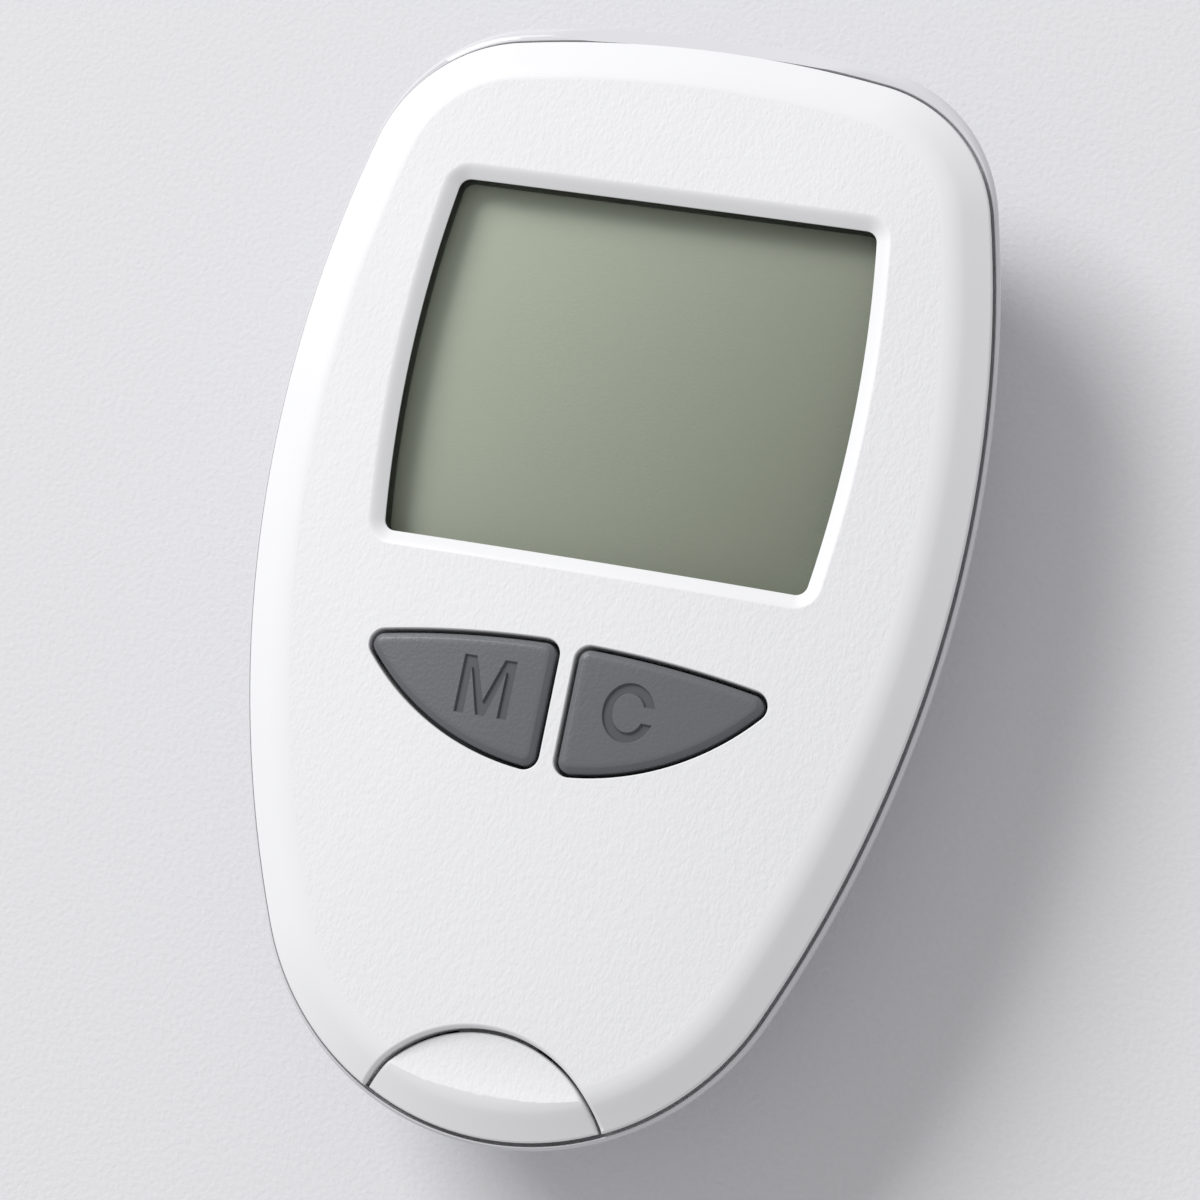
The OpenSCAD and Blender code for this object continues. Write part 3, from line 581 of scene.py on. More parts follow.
def follow(name: str, outline: Outline, surface: Surface, profile: Profile) -> Piece:
    """A cutter or core whose rim follows a crowned surface at an even depth.

    Args:
        name: Name of the new piece.
        outline: Gives the outline grown by a length.
        surface: The surface that the rim follows.
        profile: Growth and depth of each ring, from the wall upward.

    Returns:
        The closed cutter, from below the surface to well above it.
    """
    rings = [[(x, y, CUT_Z[0]) for x, y in outline(profile[0][0])]]
    for g, depth in profile:
        rings.append([(x, y, surface.height(x, y) - depth) for x, y in outline(g)])
    rings.append([(x, y, CUT_Z[1]) for x, y in outline(profile[-1][0])])
    return Bench.loft(name, rings)


# ---------------------------------------------------------------- finishes


def linear(hex_value: str) -> tuple[float, float, float, float]:
    """Turns an sRGB hex colour to linear red, green, blue and alpha."""
    parts = [int(hex_value[i : i + 2], 16) / 255 for i in (1, 3, 5)]
    return (*[p / 12.92 if p <= 0.04045 else ((p + 0.055) / 1.055) ** 2.4 for p in parts], 1.0)


def add_node(
    tree: Tree, kind: str, settings: Values | None = None, inputs: Values | None = None
) -> bpy.types.Node:
    """Adds one node with its settings, its input values and its links."""
    made = tree.nodes.new(kind)
    for key, value in (settings or {}).items():
        setattr(made, key, value)
    for key, value in (inputs or {}).items():
        if isinstance(value, Socket):
            tree.links.new(value, made.inputs[key])
        else:
            made.inputs[key].default_value = value
    return made


def blank(name: str) -> tuple[bpy.types.Material, Tree]:
    """An empty node material."""
    material = bpy.data.materials.new(name)
    material.use_nodes = True
    material.node_tree.nodes.clear()
    return material, material.node_tree


def object_place(tree: Tree) -> Socket:
    """The place on the object, in metres."""
    return add_node(tree, "ShaderNodeTexCoord").outputs["Object"]


def noise(tree: Tree, place: Socket, size_mm: float, detail: float) -> bpy.types.Node:
    """A noise texture with patches of one size."""
    inputs = {"Vector": place, "Scale": 1 / (size_mm * MM), "Detail": detail}
    return add_node(tree, "ShaderNodeTexNoise", inputs=inputs)


def blend(tree: Tree, share: Socket, first: object, other: object) -> Socket:
    """One colour mixed with another by a share from 0 to 1."""
    inputs = {0: share, 6: first, 7: other}
    return add_node(tree, "ShaderNodeMix", {"data_type": "RGBA"}, inputs).outputs[2]


def spread(tree: Tree, value: Socket, source: Point, target: Point) -> Socket:
    """Maps a value from one range to another."""
    inputs = dict(enumerate((value, *source, *target)))
    return add_node(tree, "ShaderNodeMapRange", inputs=inputs).outputs[0]


def bump(
    tree: Tree, height: Socket, depth_mm: float, invert: bool = False, under: Socket | None = None
) -> Socket:
    """Relief of one depth in millimetres, on top of another relief where there is one."""
    inputs = {"Height": height, "Distance": depth_mm * MM, "Strength": 1.0}
    if under is not None:
        inputs["Normal"] = under
    return add_node(tree, "ShaderNodeBump", {"invert": invert}, inputs).outputs[0]


def show(material: bpy.types.Material, inputs: Values) -> bpy.types.Material:
    """Ends a material with its shader and output."""
    tree = material.node_tree
    shader = add_node(tree, "ShaderNodeBsdfPrincipled", inputs=inputs)
    add_node(tree, "ShaderNodeOutputMaterial", inputs={"Surface": shader.outputs[0]})
    return material


@dataclass(frozen=True)
class Finish:
    """A surface finish: base colour, how it varies, gloss and the grain of its relief.

    Lengths are millimetres. A grain of zero depth is left out.
    """

    name: str
    colour: str
    other: str
    roughness: float = 0.4
    rough_spread: float = 0.06
    metallic: float = 0.0
    ior: float = 1.5
    coat: float = 0.0
    patch_mm: float = 12.0
    grain_mm: float = 0.3
    grain_depth_mm: float = 0.0
    stretch: tuple[float, float, float] = (1.0, 1.0, 1.0)
    turn_deg: float = 0.0
    alpha: float = 1.0

    def _place(self, tree: Tree) -> Socket:
        """Object coordinates in metres, turned and stretched along the grain."""
        inputs = {
            "Vector": object_place(tree),
            "Rotation": (0, 0, math.radians(self.turn_deg)),
            "Scale": self.stretch,
        }
        return add_node(tree, "ShaderNodeMapping", inputs=inputs).outputs["Vector"]

    def _colour(self, tree: Tree, place: Socket) -> Socket:
        """The base colour, drifting between two near tones in soft patches."""
        drift = noise(tree, place, self.patch_mm, 3.0)
        return blend(tree, drift.outputs[0], linear(self.colour), linear(self.other))

    def _roughness(self, tree: Tree, place: Socket) -> Socket:
        """Roughness that varies a little over patches of half the colour's size."""
        cloud = noise(tree, place, self.patch_mm / 2, 4.0)
        target = (self.roughness - self.rough_spread, self.roughness + self.rough_spread)
        return spread(tree, cloud.outputs[0], (0.25, 0.75), target)

    def _relief(self, tree: Tree, place: Socket) -> Socket | None:
        """Fine moulded or drawn grain as a bump, or None without a depth."""
        if not self.grain_depth_mm:
            return None
        grain = noise(tree, place, self.grain_mm, 2.0)
        return bump(tree, grain.outputs[0], self.grain_depth_mm)

    def material(self) -> bpy.types.Material:
        """Builds the finish, once for each name.

        Returns:
            The node material.
        """
        found = bpy.data.materials.get(self.name)
        if found is not None:
            return found
        material, tree = blank(self.name)
        place = self._place(tree)
        inputs: Values = {
            "Base Color": self._colour(tree, place),
            "Roughness": self._roughness(tree, place),
            "Metallic": self.metallic,
            "Coat Weight": self.coat,
            "Coat Roughness": 0.08,
            "Alpha": self.alpha,
        }
        if not self.metallic:
            inputs["IOR"] = self.ior
        relief = self._relief(tree, place)
        if relief is not None:
            inputs["Normal"] = relief
        return show(material, inputs)


@dataclass(frozen=True)
class SparkedFinish(Finish):
    """Moulded plastic from a spark-eroded tool: small flat pebbles parted by fine valleys."""

    pebble_mm: float = 0.55
    pebble_depth_mm: float = 0.012

    def _relief(self, tree: Tree, place: Socket) -> Socket | None:
        """Pebbles of the tool's grain, roughened by a finer pitting."""
        warp = noise(tree, place, self.pebble_mm * 2, 1.0)
        moved = add_node(
            tree,
            "ShaderNodeVectorMath",
            {"operation": "MULTIPLY_ADD"},
            {0: warp.outputs[1], 1: (self.pebble_mm * MM,) * 3, 2: place},
        )
        pebbles = add_node(
            tree,
            "ShaderNodeTexVoronoi",
            {"feature": "SMOOTH_F1"},
            {"Vector": moved.outputs[0], "Scale": 1 / (self.pebble_mm * MM), "Smoothness": 0.6},
        )
        coarse = bump(tree, pebbles.outputs[0], self.pebble_depth_mm, invert=True)
        pits = noise(tree, place, self.grain_mm, 3.0)
        return bump(tree, pits.outputs[0], self.grain_depth_mm, under=coarse)


@dataclass(frozen=True)
class FilmFinish(Finish):
    """Display film with a painted highlight at one corner of the window that turns evenly to
    painted shade toward the other.
    """

    # tone of the painted shade at the darker corner of the window
    painted_shade_colour: str = "#656C59"
    centre_mm: Point = (0.0, 16.1)
    slope: Point = (0.0213, -0.0139)

    def _colour(self, tree: Tree, place: Socket) -> Socket:
        """The soft patches of the film, mixed with the painted shade along the slope."""
        along = add_node(
            tree,
            "ShaderNodeVectorMath",
            {"operation": "DOT_PRODUCT"},
            {0: place, 1: (self.slope[0] / MM, self.slope[1] / MM, 0.0)},
        )
        start = self.centre_mm[0] * self.slope[0] + self.centre_mm[1] * self.slope[1]
        share = spread(tree, along.outputs["Value"], (start - 0.5, start + 0.5), (0.0, 1.0))
        return blend(tree, share, super()._colour(tree, place), linear(self.painted_shade_colour))


class Palette:
    """Every finish of the meter, by the place where it is used."""

    # Moulded ABS, pale cool white, with a fine leather-like grain on the face
    face = SparkedFinish(
        "textured_abs_face", "#E5E5E6", "#E3E3E4", roughness=0.62, rough_spread=0.05,
        ior=1.42, pebble_mm=0.45, pebble_depth_mm=0.022,
        grain_mm=0.22, grain_depth_mm=0.032, stretch=(1.0, 0.62, 1.0), turn_deg=38.0,
    )
    # The same ABS from a polished part of the tool, for the bevel and every rounded edge
    bevel = Finish(
        "polished_abs_bevel", "#E6E6E7", "#E4E4E5", roughness=0.42, rough_spread=0.04,
        ior=1.45,
        grain_mm=0.25, grain_depth_mm=0.0006,
    )
    # Polished ABS of the rear case, painted a few tones darker than the cover as shade on its
    # steep band and nose
    case = Finish(
        "polished_abs_case", "#D3D3D5", "#D0D0D3", roughness=0.18, rough_spread=0.04,
        grain_mm=0.3, grain_depth_mm=0.0006,
    )
    # Fine matte ABS of the case's underside and the battery door
    under = SparkedFinish(
        "textured_abs_back", "#DCDDE0", "#D8D9DD", roughness=0.52, rough_spread=0.05,
        pebble_mm=0.5, pebble_depth_mm=0.008, grain_mm=0.15, grain_depth_mm=0.004,
    )
    # Black on the wall round the window, painted shade for the recess, which reads as a dark line
    # under the bezel
    window_wall_shade = Finish(
        "painted_window_wall_shade", "#0E0F0D", "#141512", roughness=0.35, rough_spread=0.03,
        grain_mm=0.1, grain_depth_mm=0.001,
    )
    # Polished floor of the engraved letters, painted a tone darker than the key as shade in the
    # engraving
    key_engraving_shade = Finish(
        "painted_shade_key_engraving", "#515357", "#4D4F53", roughness=0.36, rough_spread=0.03,
        grain_mm=0.1, grain_depth_mm=0.001,
    )
    # Satin moulded rubbery plastic of the keys, dark neutral grey
    key = SparkedFinish(
        "satin_tpe_key", "#606266", "#5A5C60", roughness=0.42, rough_spread=0.05,
        pebble_mm=0.32, pebble_depth_mm=0.012, grain_mm=0.13, grain_depth_mm=0.01,
    )
    # Display polariser film, sage green with a fine even grain, with a painted highlight at one
    # corner turning to painted shade toward the other
    film = FilmFinish(
        "polariser_film_sage", "#A4AC98", "#A1A995", roughness=0.42, rough_spread=0.03,
        patch_mm=9.0, grain_mm=0.2, grain_depth_mm=0.014,
    )
    # Clear moulded acrylic of the window
    pane = Finish(
        "clear_acrylic_window", "#C9CFC6", "#C5CBC2", roughness=0.14, rough_spread=0.03,
        ior=1.49, alpha=0.05,
    )
    glass = Finish("display_glass", "#A9B5A6", "#A3AFA0", roughness=0.1, alpha=0.5)
    foil = Finish("aluminium_reflector_foil", "#C9CBCC", "#BFC1C3", metallic=1.0, roughness=0.35)
    holder = Finish(
        "moulded_pc_holder", "#9A9C9E", "#929496", roughness=0.5,
        grain_mm=0.2, grain_depth_mm=0.002,
    )
    rubber = Finish(
        "silicone_contact_strip", "#2B2B2D", "#353537", roughness=0.75,
        patch_mm=0.6, grain_mm=0.1, grain_depth_mm=0.002,
    )
    board = Finish(
        "solder_mask_board", "#0F5A32", "#0B4C2A", roughness=0.28, coat=0.3,
        patch_mm=2.0, grain_mm=0.35, grain_depth_mm=0.004,
    )
    chip = Finish(
        "moulded_epoxy_chip", "#1D1D1F", "#262628", roughness=0.6,
        grain_mm=0.12, grain_depth_mm=0.003,
    )
    can = Finish(
        "nickel_silver_can", "#B9B6AE", "#A9A69F", metallic=1.0, roughness=0.3,
        grain_mm=0.12, grain_depth_mm=0.001, stretch=(1.0, 8.0, 1.0),
    )
    ivory = Finish(
        "moulded_lcp_connector", "#D8CFB8", "#CEC5AE", roughness=0.5,
        grain_mm=0.15, grain_depth_mm=0.002,
    )
    gold = Finish("gold_plated_leaf", "#D9B25C", "#CFA74F", metallic=1.0, roughness=0.25)
    spring = Finish(
        "drawn_spring_steel", "#B4B6B8", "#A3A5A8", metallic=1.0, roughness=0.28,
        grain_mm=0.08, grain_depth_mm=0.001,
    )
    jacket = Finish(
        "printed_steel_cell_jacket", "#3A4149", "#434B54", metallic=0.6, roughness=0.32,
        coat=0.4, patch_mm=8.0, grain_mm=0.3, grain_depth_mm=0.0008,
    )
    acetal = Finish(
        "moulded_acetal_bar", "#E6E5DF", "#DFDED7", roughness=0.38,
        grain_mm=0.2, grain_depth_mm=0.001,
    )
    screw = Finish(
        "zinc_plated_screw", "#A9ABAE", "#96989C", metallic=1.0, roughness=0.34,
        patch_mm=1.5, grain_mm=0.1, grain_depth_mm=0.002,
    )


def dress(piece: Piece, *finishes: Finish) -> None:
    """Gives a piece the materials of its finishes, in order."""
    piece.data.materials.clear()
    for finish in finishes:
        piece.data.materials.append(finish.material())


def settle(piece: Piece, body: str, slot: str, *nodes: str) -> Piece:
    """Lets a finished piece ride on its body and stand for its nodes.

    Args:
        piece: The finished piece.
        body: Body that it rides on.
        slot: Material slot of the record; not used.
        *nodes: CAD nodes that it stands for.

    Returns:
        The same piece.
    """
    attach(piece, body)
    if nodes:
        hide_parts(*nodes)
    log.info("%s: %d faces, rides on %s", piece.name, len(piece.data.polygons), body)
    return piece


# ---------------------------------------------------------------- front cover


@dataclass
class CoverSkin:
    """The cover's outer form, from its foot over the bevel to the crowned face."""

    sizes: Sizes
    crown_steps: int = 18
    crown_from: float = 0.965
    crown_to: float = 0.04
    bevel_steps: int = 4
    undercut: float = 0.9
    reveal: float = 0.22

    def outer(self, drop: float = 0.0, inset: float = 0.0, foot: float = 0.0) -> list[Station]:
        """Stations from the foot up to the middle of the face.

        Args:
            drop: How far the form lies lower than the cover.
            inset: How far its edge stands back from the cover's.
            foot: Height of its foot over the parting line.

        Returns:
            The stations, each with its offset from the body's outline.
        """
        s, z = self.sizes, self.sizes.part_z - drop
        b, first = s.bevel_w, self.crown_from
        edge = z + max(self.reveal, foot)
        tuck = [
            (self.undercut, z + foot), (self.undercut, edge + 0.01), (0.1, edge + 0.02),
            (0.03, edge + 0.05), (0, edge + 0.1),
            (0, z + 0.56), (0.03, z + 0.66), (0.1, z + 0.75), (0.2, z + 0.8),
        ]
        slope = [
            (0.2, z + 0.8), (b * 0.27, z + 1.265), (b * 0.5, z + 1.755),
            (b * 0.62, z + 1.975), (b * 0.76, z + 2.15),
        ]
        shoulder = [
            *[Station(-inset - back, height) for back, height in slope],
            Station(-inset * 0.5 - b * 0.9, z + 2.255),
            Station(-b, z + 2.296),
            Station(-b, z + s.face_h(first) - 0.003, 0, first),
        ]
        shares = [k / self.crown_steps for k in range(1, self.crown_steps + 1)]
        scales = [first - (first - self.crown_to) * share for share in shares]
        return [
            *[Station(-inset - back, height) for back, height in tuck],
            *eased(shoulder, self.bevel_steps)[1:],
            *[Station(-b, z + s.face_h(scale), 0, scale) for scale in scales],
        ]

    def hollow(self) -> list[Station]:
        """Stations of the inside, from the middle of the ceiling down to the foot."""
        s, z, w = self.sizes, self.sizes.part_z, self.sizes.cover_wall
        scales = (0.05, 0.2, 0.4, 0.6, 0.8, 0.9, 1.0)
        return [
            *[Station(-s.bevel_w - 0.3, z + s.face_h(k) - w, 0, k) for k in scales],
            Station(-s.bevel_w * 0.6 - 0.4, z + s.face_edge_h * 0.9 - w),
            Station(-s.case_wall, z + s.reveal_h),
            Station(-s.case_wall, z),
        ]


@dataclass
class FrontCover:
    """The white cover with its window bezel, key openings and cut-out for the button."""

    sizes: Sizes
    egg: Egg
    window: WindowOutline
    keys: tuple[KeyOutline, KeyOutline]
    seat_z: float = 16.95
    seat_out: float = 2.1
    collar_z: float = 16.9
    collar_out: float = 0.62
    bezel_w: float = 1.4
    bezel_depth: float = 0.62
    key_roll: float = 0.2
    rim_roll: float = 0.42
    rim_wall: float = 1.1
    rim_z: tuple[float, float] = (16.5, 17.6)
    rim_inset: float = 1.5
    boss_z: tuple[float, float] = (10.8, 17.4)
    bore_r: float = 1.05
    wall_shade_reach: float = 0.05
    surface: Surface = field(init=False)
    clean: Piece = field(init=False)

    def skin(self) -> Piece:
        """Lofts the shell, inside and outside in one closed form."""
        form = CoverSkin(self.sizes)
        stations = [*form.hollow(), *form.outer()]
        shell = Bench.loft("cover_shell", [self.egg.ring(s) for s in stations])
        self.surface = Surface(shell)
        self.clean = Bench.twin(shell)
        return shell

    def bezel_profile(self) -> Profile:
        """Growth and depth of the sloped bezel, from the recess wall outward."""
        w, d = self.bezel_w, self.bezel_depth
        return [
            (0.0, d + 0.1),
            (0.02, d + 0.03),
            (0.07, d),
            (w * 0.4, d * 0.53),
            (w * 0.62, d * 0.26),
            (w * 0.76, d * 0.12),
            (w * 0.88, d * 0.035),
            (w * 0.97, d * 0.008),
            (w * 1.1, -d * 0.012),
            (w * 1.25, -d * 0.12),
        ]

    def stiffen(self, shell: Piece) -> None:
        """Adds the window seat, the key collars, the rim wall and the screw bosses."""
        s = self.sizes
        top = s.part_z + s.face_edge_h - 0.2
        parts = [Bench.prism("seat", self.window.grown(self.seat_out), self.seat_z, top)]
        for key in self.keys:
            parts.append(Bench.prism("collar", key.grown(self.collar_out), self.collar_z, top))
        low, high = self.rim_z
        wall = Bench.drum("rim", (0, s.eject_y, low), s.eject_r + self.rim_wall, high - low, 160)
        Bench.join(wall, Join.KEEP, self.egg.plate(-self.rim_inset, low - 0.5, high + 1.4))
        parts.append(wall)
        low, high = self.boss_z
        for x, y in s.bosses:
            post = Bench.drum("boss", (x, y, low), s.boss_r, high - low)
            Bench.join(post, Join.CUT, Bench.drum("bore", (x, y, 9), self.bore_r, 7))
            parts.append(post)
        Bench.join(shell, Join.ADD, *parts)

    def open(self, shell: Piece) -> None:
        """Cuts the window, the key openings and the button's cut-out."""
        middle, radius = (0.0, self.sizes.eject_y), self.sizes.eject_r
        cuts = [
            ("window", self.window.grown, self.bezel_profile()),
            *[("opening", key.grown, roll(self.key_roll)) for key in self.keys],
            ("cut_out", lambda g: circle(middle, radius + g, 200), roll(self.rim_roll)),
        ]
        for name, outline, profile in cuts:
            Bench.join(shell, Join.CUT, follow(name, outline, self.surface, profile))

    def mark_face(self, shell: Piece) -> None:
        """Gives the textured finish to the crowned face and the black of painted shade to the
        window's wall.
        """
        floor = self.sizes.part_z + self.sizes.face_edge_h - 0.003
        half_w = self.window.width / 2 + self.window.bulge + self.wall_shade_reach
        half_h = self.window.height / 2 + self.wall_shade_reach
        for face in shell.data.polygons:
            x, y, z = (c / MM for c in face.center)
            within = abs(x) < half_w and abs(y - self.window.centre_y) < half_h
            wall = abs(face.normal.z) < 0.2 and self.seat_z - 0.1 < z
            crown = face.normal.z > 0.99 and z > floor
            # the window's wall gets black as painted shade in the recess
            face.material_index = 1 if crown else 2 if wall and within else 0

    def build(self) -> Piece:
        """Makes the finished cover."""
        shell = self.skin()
        self.stiffen(shell)
        self.open(shell)
        Bench.finish(shell)
        # the third material is the black painted shade on the window's wall
        dress(shell, Palette.bevel, Palette.face, Palette.window_wall_shade)
        self.mark_face(shell)
        Bench.shade_like(shell, self.clean)
        shell.name = "cover_moulding"
        return settle(shell, "housing", "cover_white", "front_cover")


# ---------------------------------------------------------------- keys


@dataclass(frozen=True)
class Letter:
    """A plain engraved letter: its strokes' outline as closed polygons in millimetres."""

    left: float
    low: float
    width: float
    height: float
    stroke: float = 0.8

    def capital_m(self) -> list[Point]:
        """Outline of an M whose middle reaches the base line."""
        w, h, t = self.width, self.height, self.stroke * 1.06
        slant = t * 1.16
        points = [
            (0, 0), (0, h), (slant, h), (w / 2, t * 1.35), (w - slant, h), (w, h),
            (w, 0), (w - t * 0.86, 0), (w - t * 0.86, h * 0.80), (w / 2 + t * 0.42, 0),
            (w / 2 - t * 0.42, 0), (t * 0.86, h * 0.80), (t * 0.86, 0),
        ]
        return [(self.left + x, self.low + y) for x, y in points]

    def capital_c(self) -> list[Point]:
        """Outline of an open round C."""
        rx, ry, t = self.width / 2, self.height / 2, self.stroke
        cx, cy = self.left + rx, self.low + ry
        steps, outer_gap, inner_gap = 40, 17.0, 25.0

        def bow(half_w: float, half_h: float, gap: float) -> list[Point]:
            """Points round an ellipse from the upper end of the letter to its lower end."""
            turns = [math.radians(gap + (360 - 2 * gap) * i / steps) for i in range(steps + 1)]
            return [(cx + half_w * math.cos(a), cy + half_h * math.sin(a)) for a in turns]

        return [*bow(rx, ry, outer_gap), *reversed(bow(rx - t, ry - t, inner_gap))]


def offset_polygon(points: Sequence[Point], by: float) -> list[Point]:
    """Moves each side of a closed polygon outward by a length, with mitred corners."""
    area = sum(a[0] * b[1] - b[0] * a[1] for a, b in zip(points, [*points[1:], points[0]]))
    turn = 1.0 if area > 0 else -1.0
    made = []
    for i, p in enumerate(points):
        a, b = points[i - 1], points[(i + 1) % len(points)]
        d0 = Vector((p[0] - a[0], p[1] - a[1])).normalized()
        d1 = Vector((b[0] - p[0], b[1] - p[1])).normalized()
        n0, n1 = Vector((d0.y, -d0.x)) * turn, Vector((d1.y, -d1.x)) * turn
        mitre = (n0 + n1) / max(0.35, 1 + n0.dot(n1))
        made.append((p[0] + mitre.x * by, p[1] + mitre.y * by))
    return made


@dataclass
class Key:
    """A sprung key: crowned cap with an engraved letter, flange and stem."""

    name: str
    node: str
    body: str
    outline: KeyOutline
    letter: list[Point]
    surface: Surface
    gap: float = 0.35
    proud: float = 0.16
    edge: float = 0.5
    engraving: float = 0.24
    crown: float = 0.015
    flange_z: float = 16.3
    flange_out: float = 0.5
    flange_t: float = 0.5
    stem: Point = (8.008, -11.817)
    stem_z: float = 15.5
    stem_r: float = 1.5

    def cap(self) -> Piece:
        """The cap, rounded over its edge and gently crowned."""
        g = -self.gap
        w, top = self.edge, -self.proud
        profile = [
            (g, 0.9),
            (g, top + 0.4),
            (g - w * 0.04, top + 0.3),
            (g - w * 0.14, top + 0.22),
            (g - w * 0.3, top + 0.17),
            (g - w * 0.86, top + 0.035),
            (g - w * 0.96, top + 0.012),
            (g - w * 1.1, top),
            (g - w * 1.5, top - 0.01),
            (g - 0.94, top - 0.015),
        ]
        height = self.surface.height
        rings = [[(x, y, self.flange_z + 0.2) for x, y in self.outline.grown(g)]]
        for grow, depth in profile:
            rings.append([(x, y, height(x, y) - depth) for x, y in self.outline.grown(grow)])
        last = np.array(rings[-1])
        middle = last.mean(0)
        for share in (0.8, 0.6, 0.4, 0.2, 0.06):
            ring = middle + (last - middle) * share
            rings.append([(x, y, height(x, y) + self.proud + self.crown) for x, y, _ in ring])
        return Bench.loft(self.name, rings)

    def build(self) -> Piece:
        """Makes the finished key."""
        piece = self.cap()
        rim = self.outline.grown(self.flange_out)
        flange = Bench.prism("flange", rim, self.flange_z, self.flange_z + self.flange_t)
        x = self.stem[0] * self.outline.side.value
        stem = Bench.drum("stem", (x, self.stem[1], self.stem_z), self.stem_r, 1.0)
        Bench.join(piece, Join.ADD, flange, stem)
        depths = [(-0.07, self.engraving), (0.0, 0.07), (0.06, 0.0), (0.14, -0.06)]
        rings = [
            [
                (px, py, self.surface.height(px, py) + self.proud + self.crown - depth)
                for px, py in offset_polygon(self.letter, grow)
            ]
            for grow, depth in depths
        ]
        Bench.join(piece, Join.CUT, Bench.loft("letter", rings))
        Bench.finish(piece, 30)
        dress(piece, Palette.key, Palette.key_engraving_shade)
        for face in piece.data.polygons:
            x, y, z = (c / MM for c in face.center)
            sunk = self.surface.height(x, y) + self.proud - z > self.engraving * 0.8
            # the letters' floor gets the darker tone, painted shade in the engraving
            face.material_index = 1 if sunk and face.normal.z > 0.9 else 0
        Bench.lead_by_area(piece)
        return settle(piece, self.body, "key_grey", self.node)


# ---------------------------------------------------------------- ejector button


@dataclass
class EjectButton:
    """Crescent at the grip end: a slice of the cover's form with a dish, a guide and a wedge."""

    sizes: Sizes
    egg: Egg
    edge: float = 0.3
    inset: float = 0.09
    skirt: float = 0.36
    block_z: float = 12.6
    bar_z: float = 11.5
    ratio: int = 2
    dish_r: float = 14.0
    dish_from_low: float = 3.5

    def dish_axis(self) -> Point:
        """Y and Z of the axis of the dish, which runs across the button."""
        s = self.sizes
        half = (s.eject_h - self.dish_from_low) / 2
        top = s.part_z + s.face_edge_h - s.eject_drop - 0.06
        return s.low_y + self.dish_from_low + half, top + math.sqrt(self.dish_r**2 - half**2)

    def build(self) -> Piece:
        """Makes the finished button."""
        s = self.sizes
        form = CoverSkin(s, undercut=self.skirt)
        skin = [self.egg.ring(k) for k in form.outer(s.eject_drop, self.inset, s.eject_drop + 0.1)]
        piece = Bench.loft("eject_crescent", skin)
        dish_y, dish_z = self.dish_axis()
        dish = Bench.drum("dish", (-12, dish_y, dish_z), self.dish_r, 24, 320, ACROSS)
        Bench.join(piece, Join.CUT, dish)
        surface = Surface(piece)
        radius = s.eject_r - s.eject_gap
        profile = [(-g, depth) for g, depth in roll(self.edge)]
        outline = lambda g: circle((0, s.eject_y), radius + g, 200)
        core = follow("core", outline, surface, profile)
        Bench.join(piece, Join.KEEP, core)
        Bench.join(piece, Join.ADD, self.guide(), self.tab())
        Bench.finish(piece)
        dress(piece, Palette.bevel, Palette.face)
        for face in piece.data.polygons:
            y, z = face.center.y / MM, face.center.z / MM
            off = abs(math.hypot(y - dish_y, z - dish_z) - self.dish_r)
            face.material_index = 1 if face.normal.z > 0.97 and off < 0.02 else 0
        Bench.crease_border(piece, 1)
        Bench.lead_by_area(piece)
        return settle(piece, "ejector", "cover_white", "eject_button")

    def guide(self) -> Piece:
        """Block that runs down inside the case, with the wedge under it."""
        s = self.sizes
        radius, high = s.eject_r - s.eject_gap - 1.2, s.part_z + 0.3
        guide = Bench.drum("guide", (0, s.eject_y, self.block_z), radius, high - self.block_z, 120)
        Bench.join(guide, Join.KEEP, self.egg.plate(-s.case_wall - 2.1, 10, 20))
        low, bar_z = s.low_y + 5.4, self.bar_z
        reach = low - 0.1 + self.ratio * (self.block_z + 0.4 - bar_z)
        side = [
            (low - 1.6, self.block_z + 1),
            (low - 1.6, bar_z - 0.2),
            (low - 0.5, bar_z - 0.2),
            (reach, self.block_z + 0.4),
            (reach, self.block_z + 1),
        ]
        wedge = Bench.loft("wedge", [[(x, y, z) for y, z in side] for x in (-1.1, 1.1)])
        Bench.join(guide, Join.ADD, wedge)
        return guide

    def tab(self) -> Piece:
        """Tab that holds the button under the cover."""
        z, edge = self.sizes.part_z, self.sizes.low_y + self.sizes.eject_h
        return Bench.slab("tab", 3.4, (edge - 2.4, edge + 0.9), (z - 1.1, z - 0.2))


# ---------------------------------------------------------------- rear case


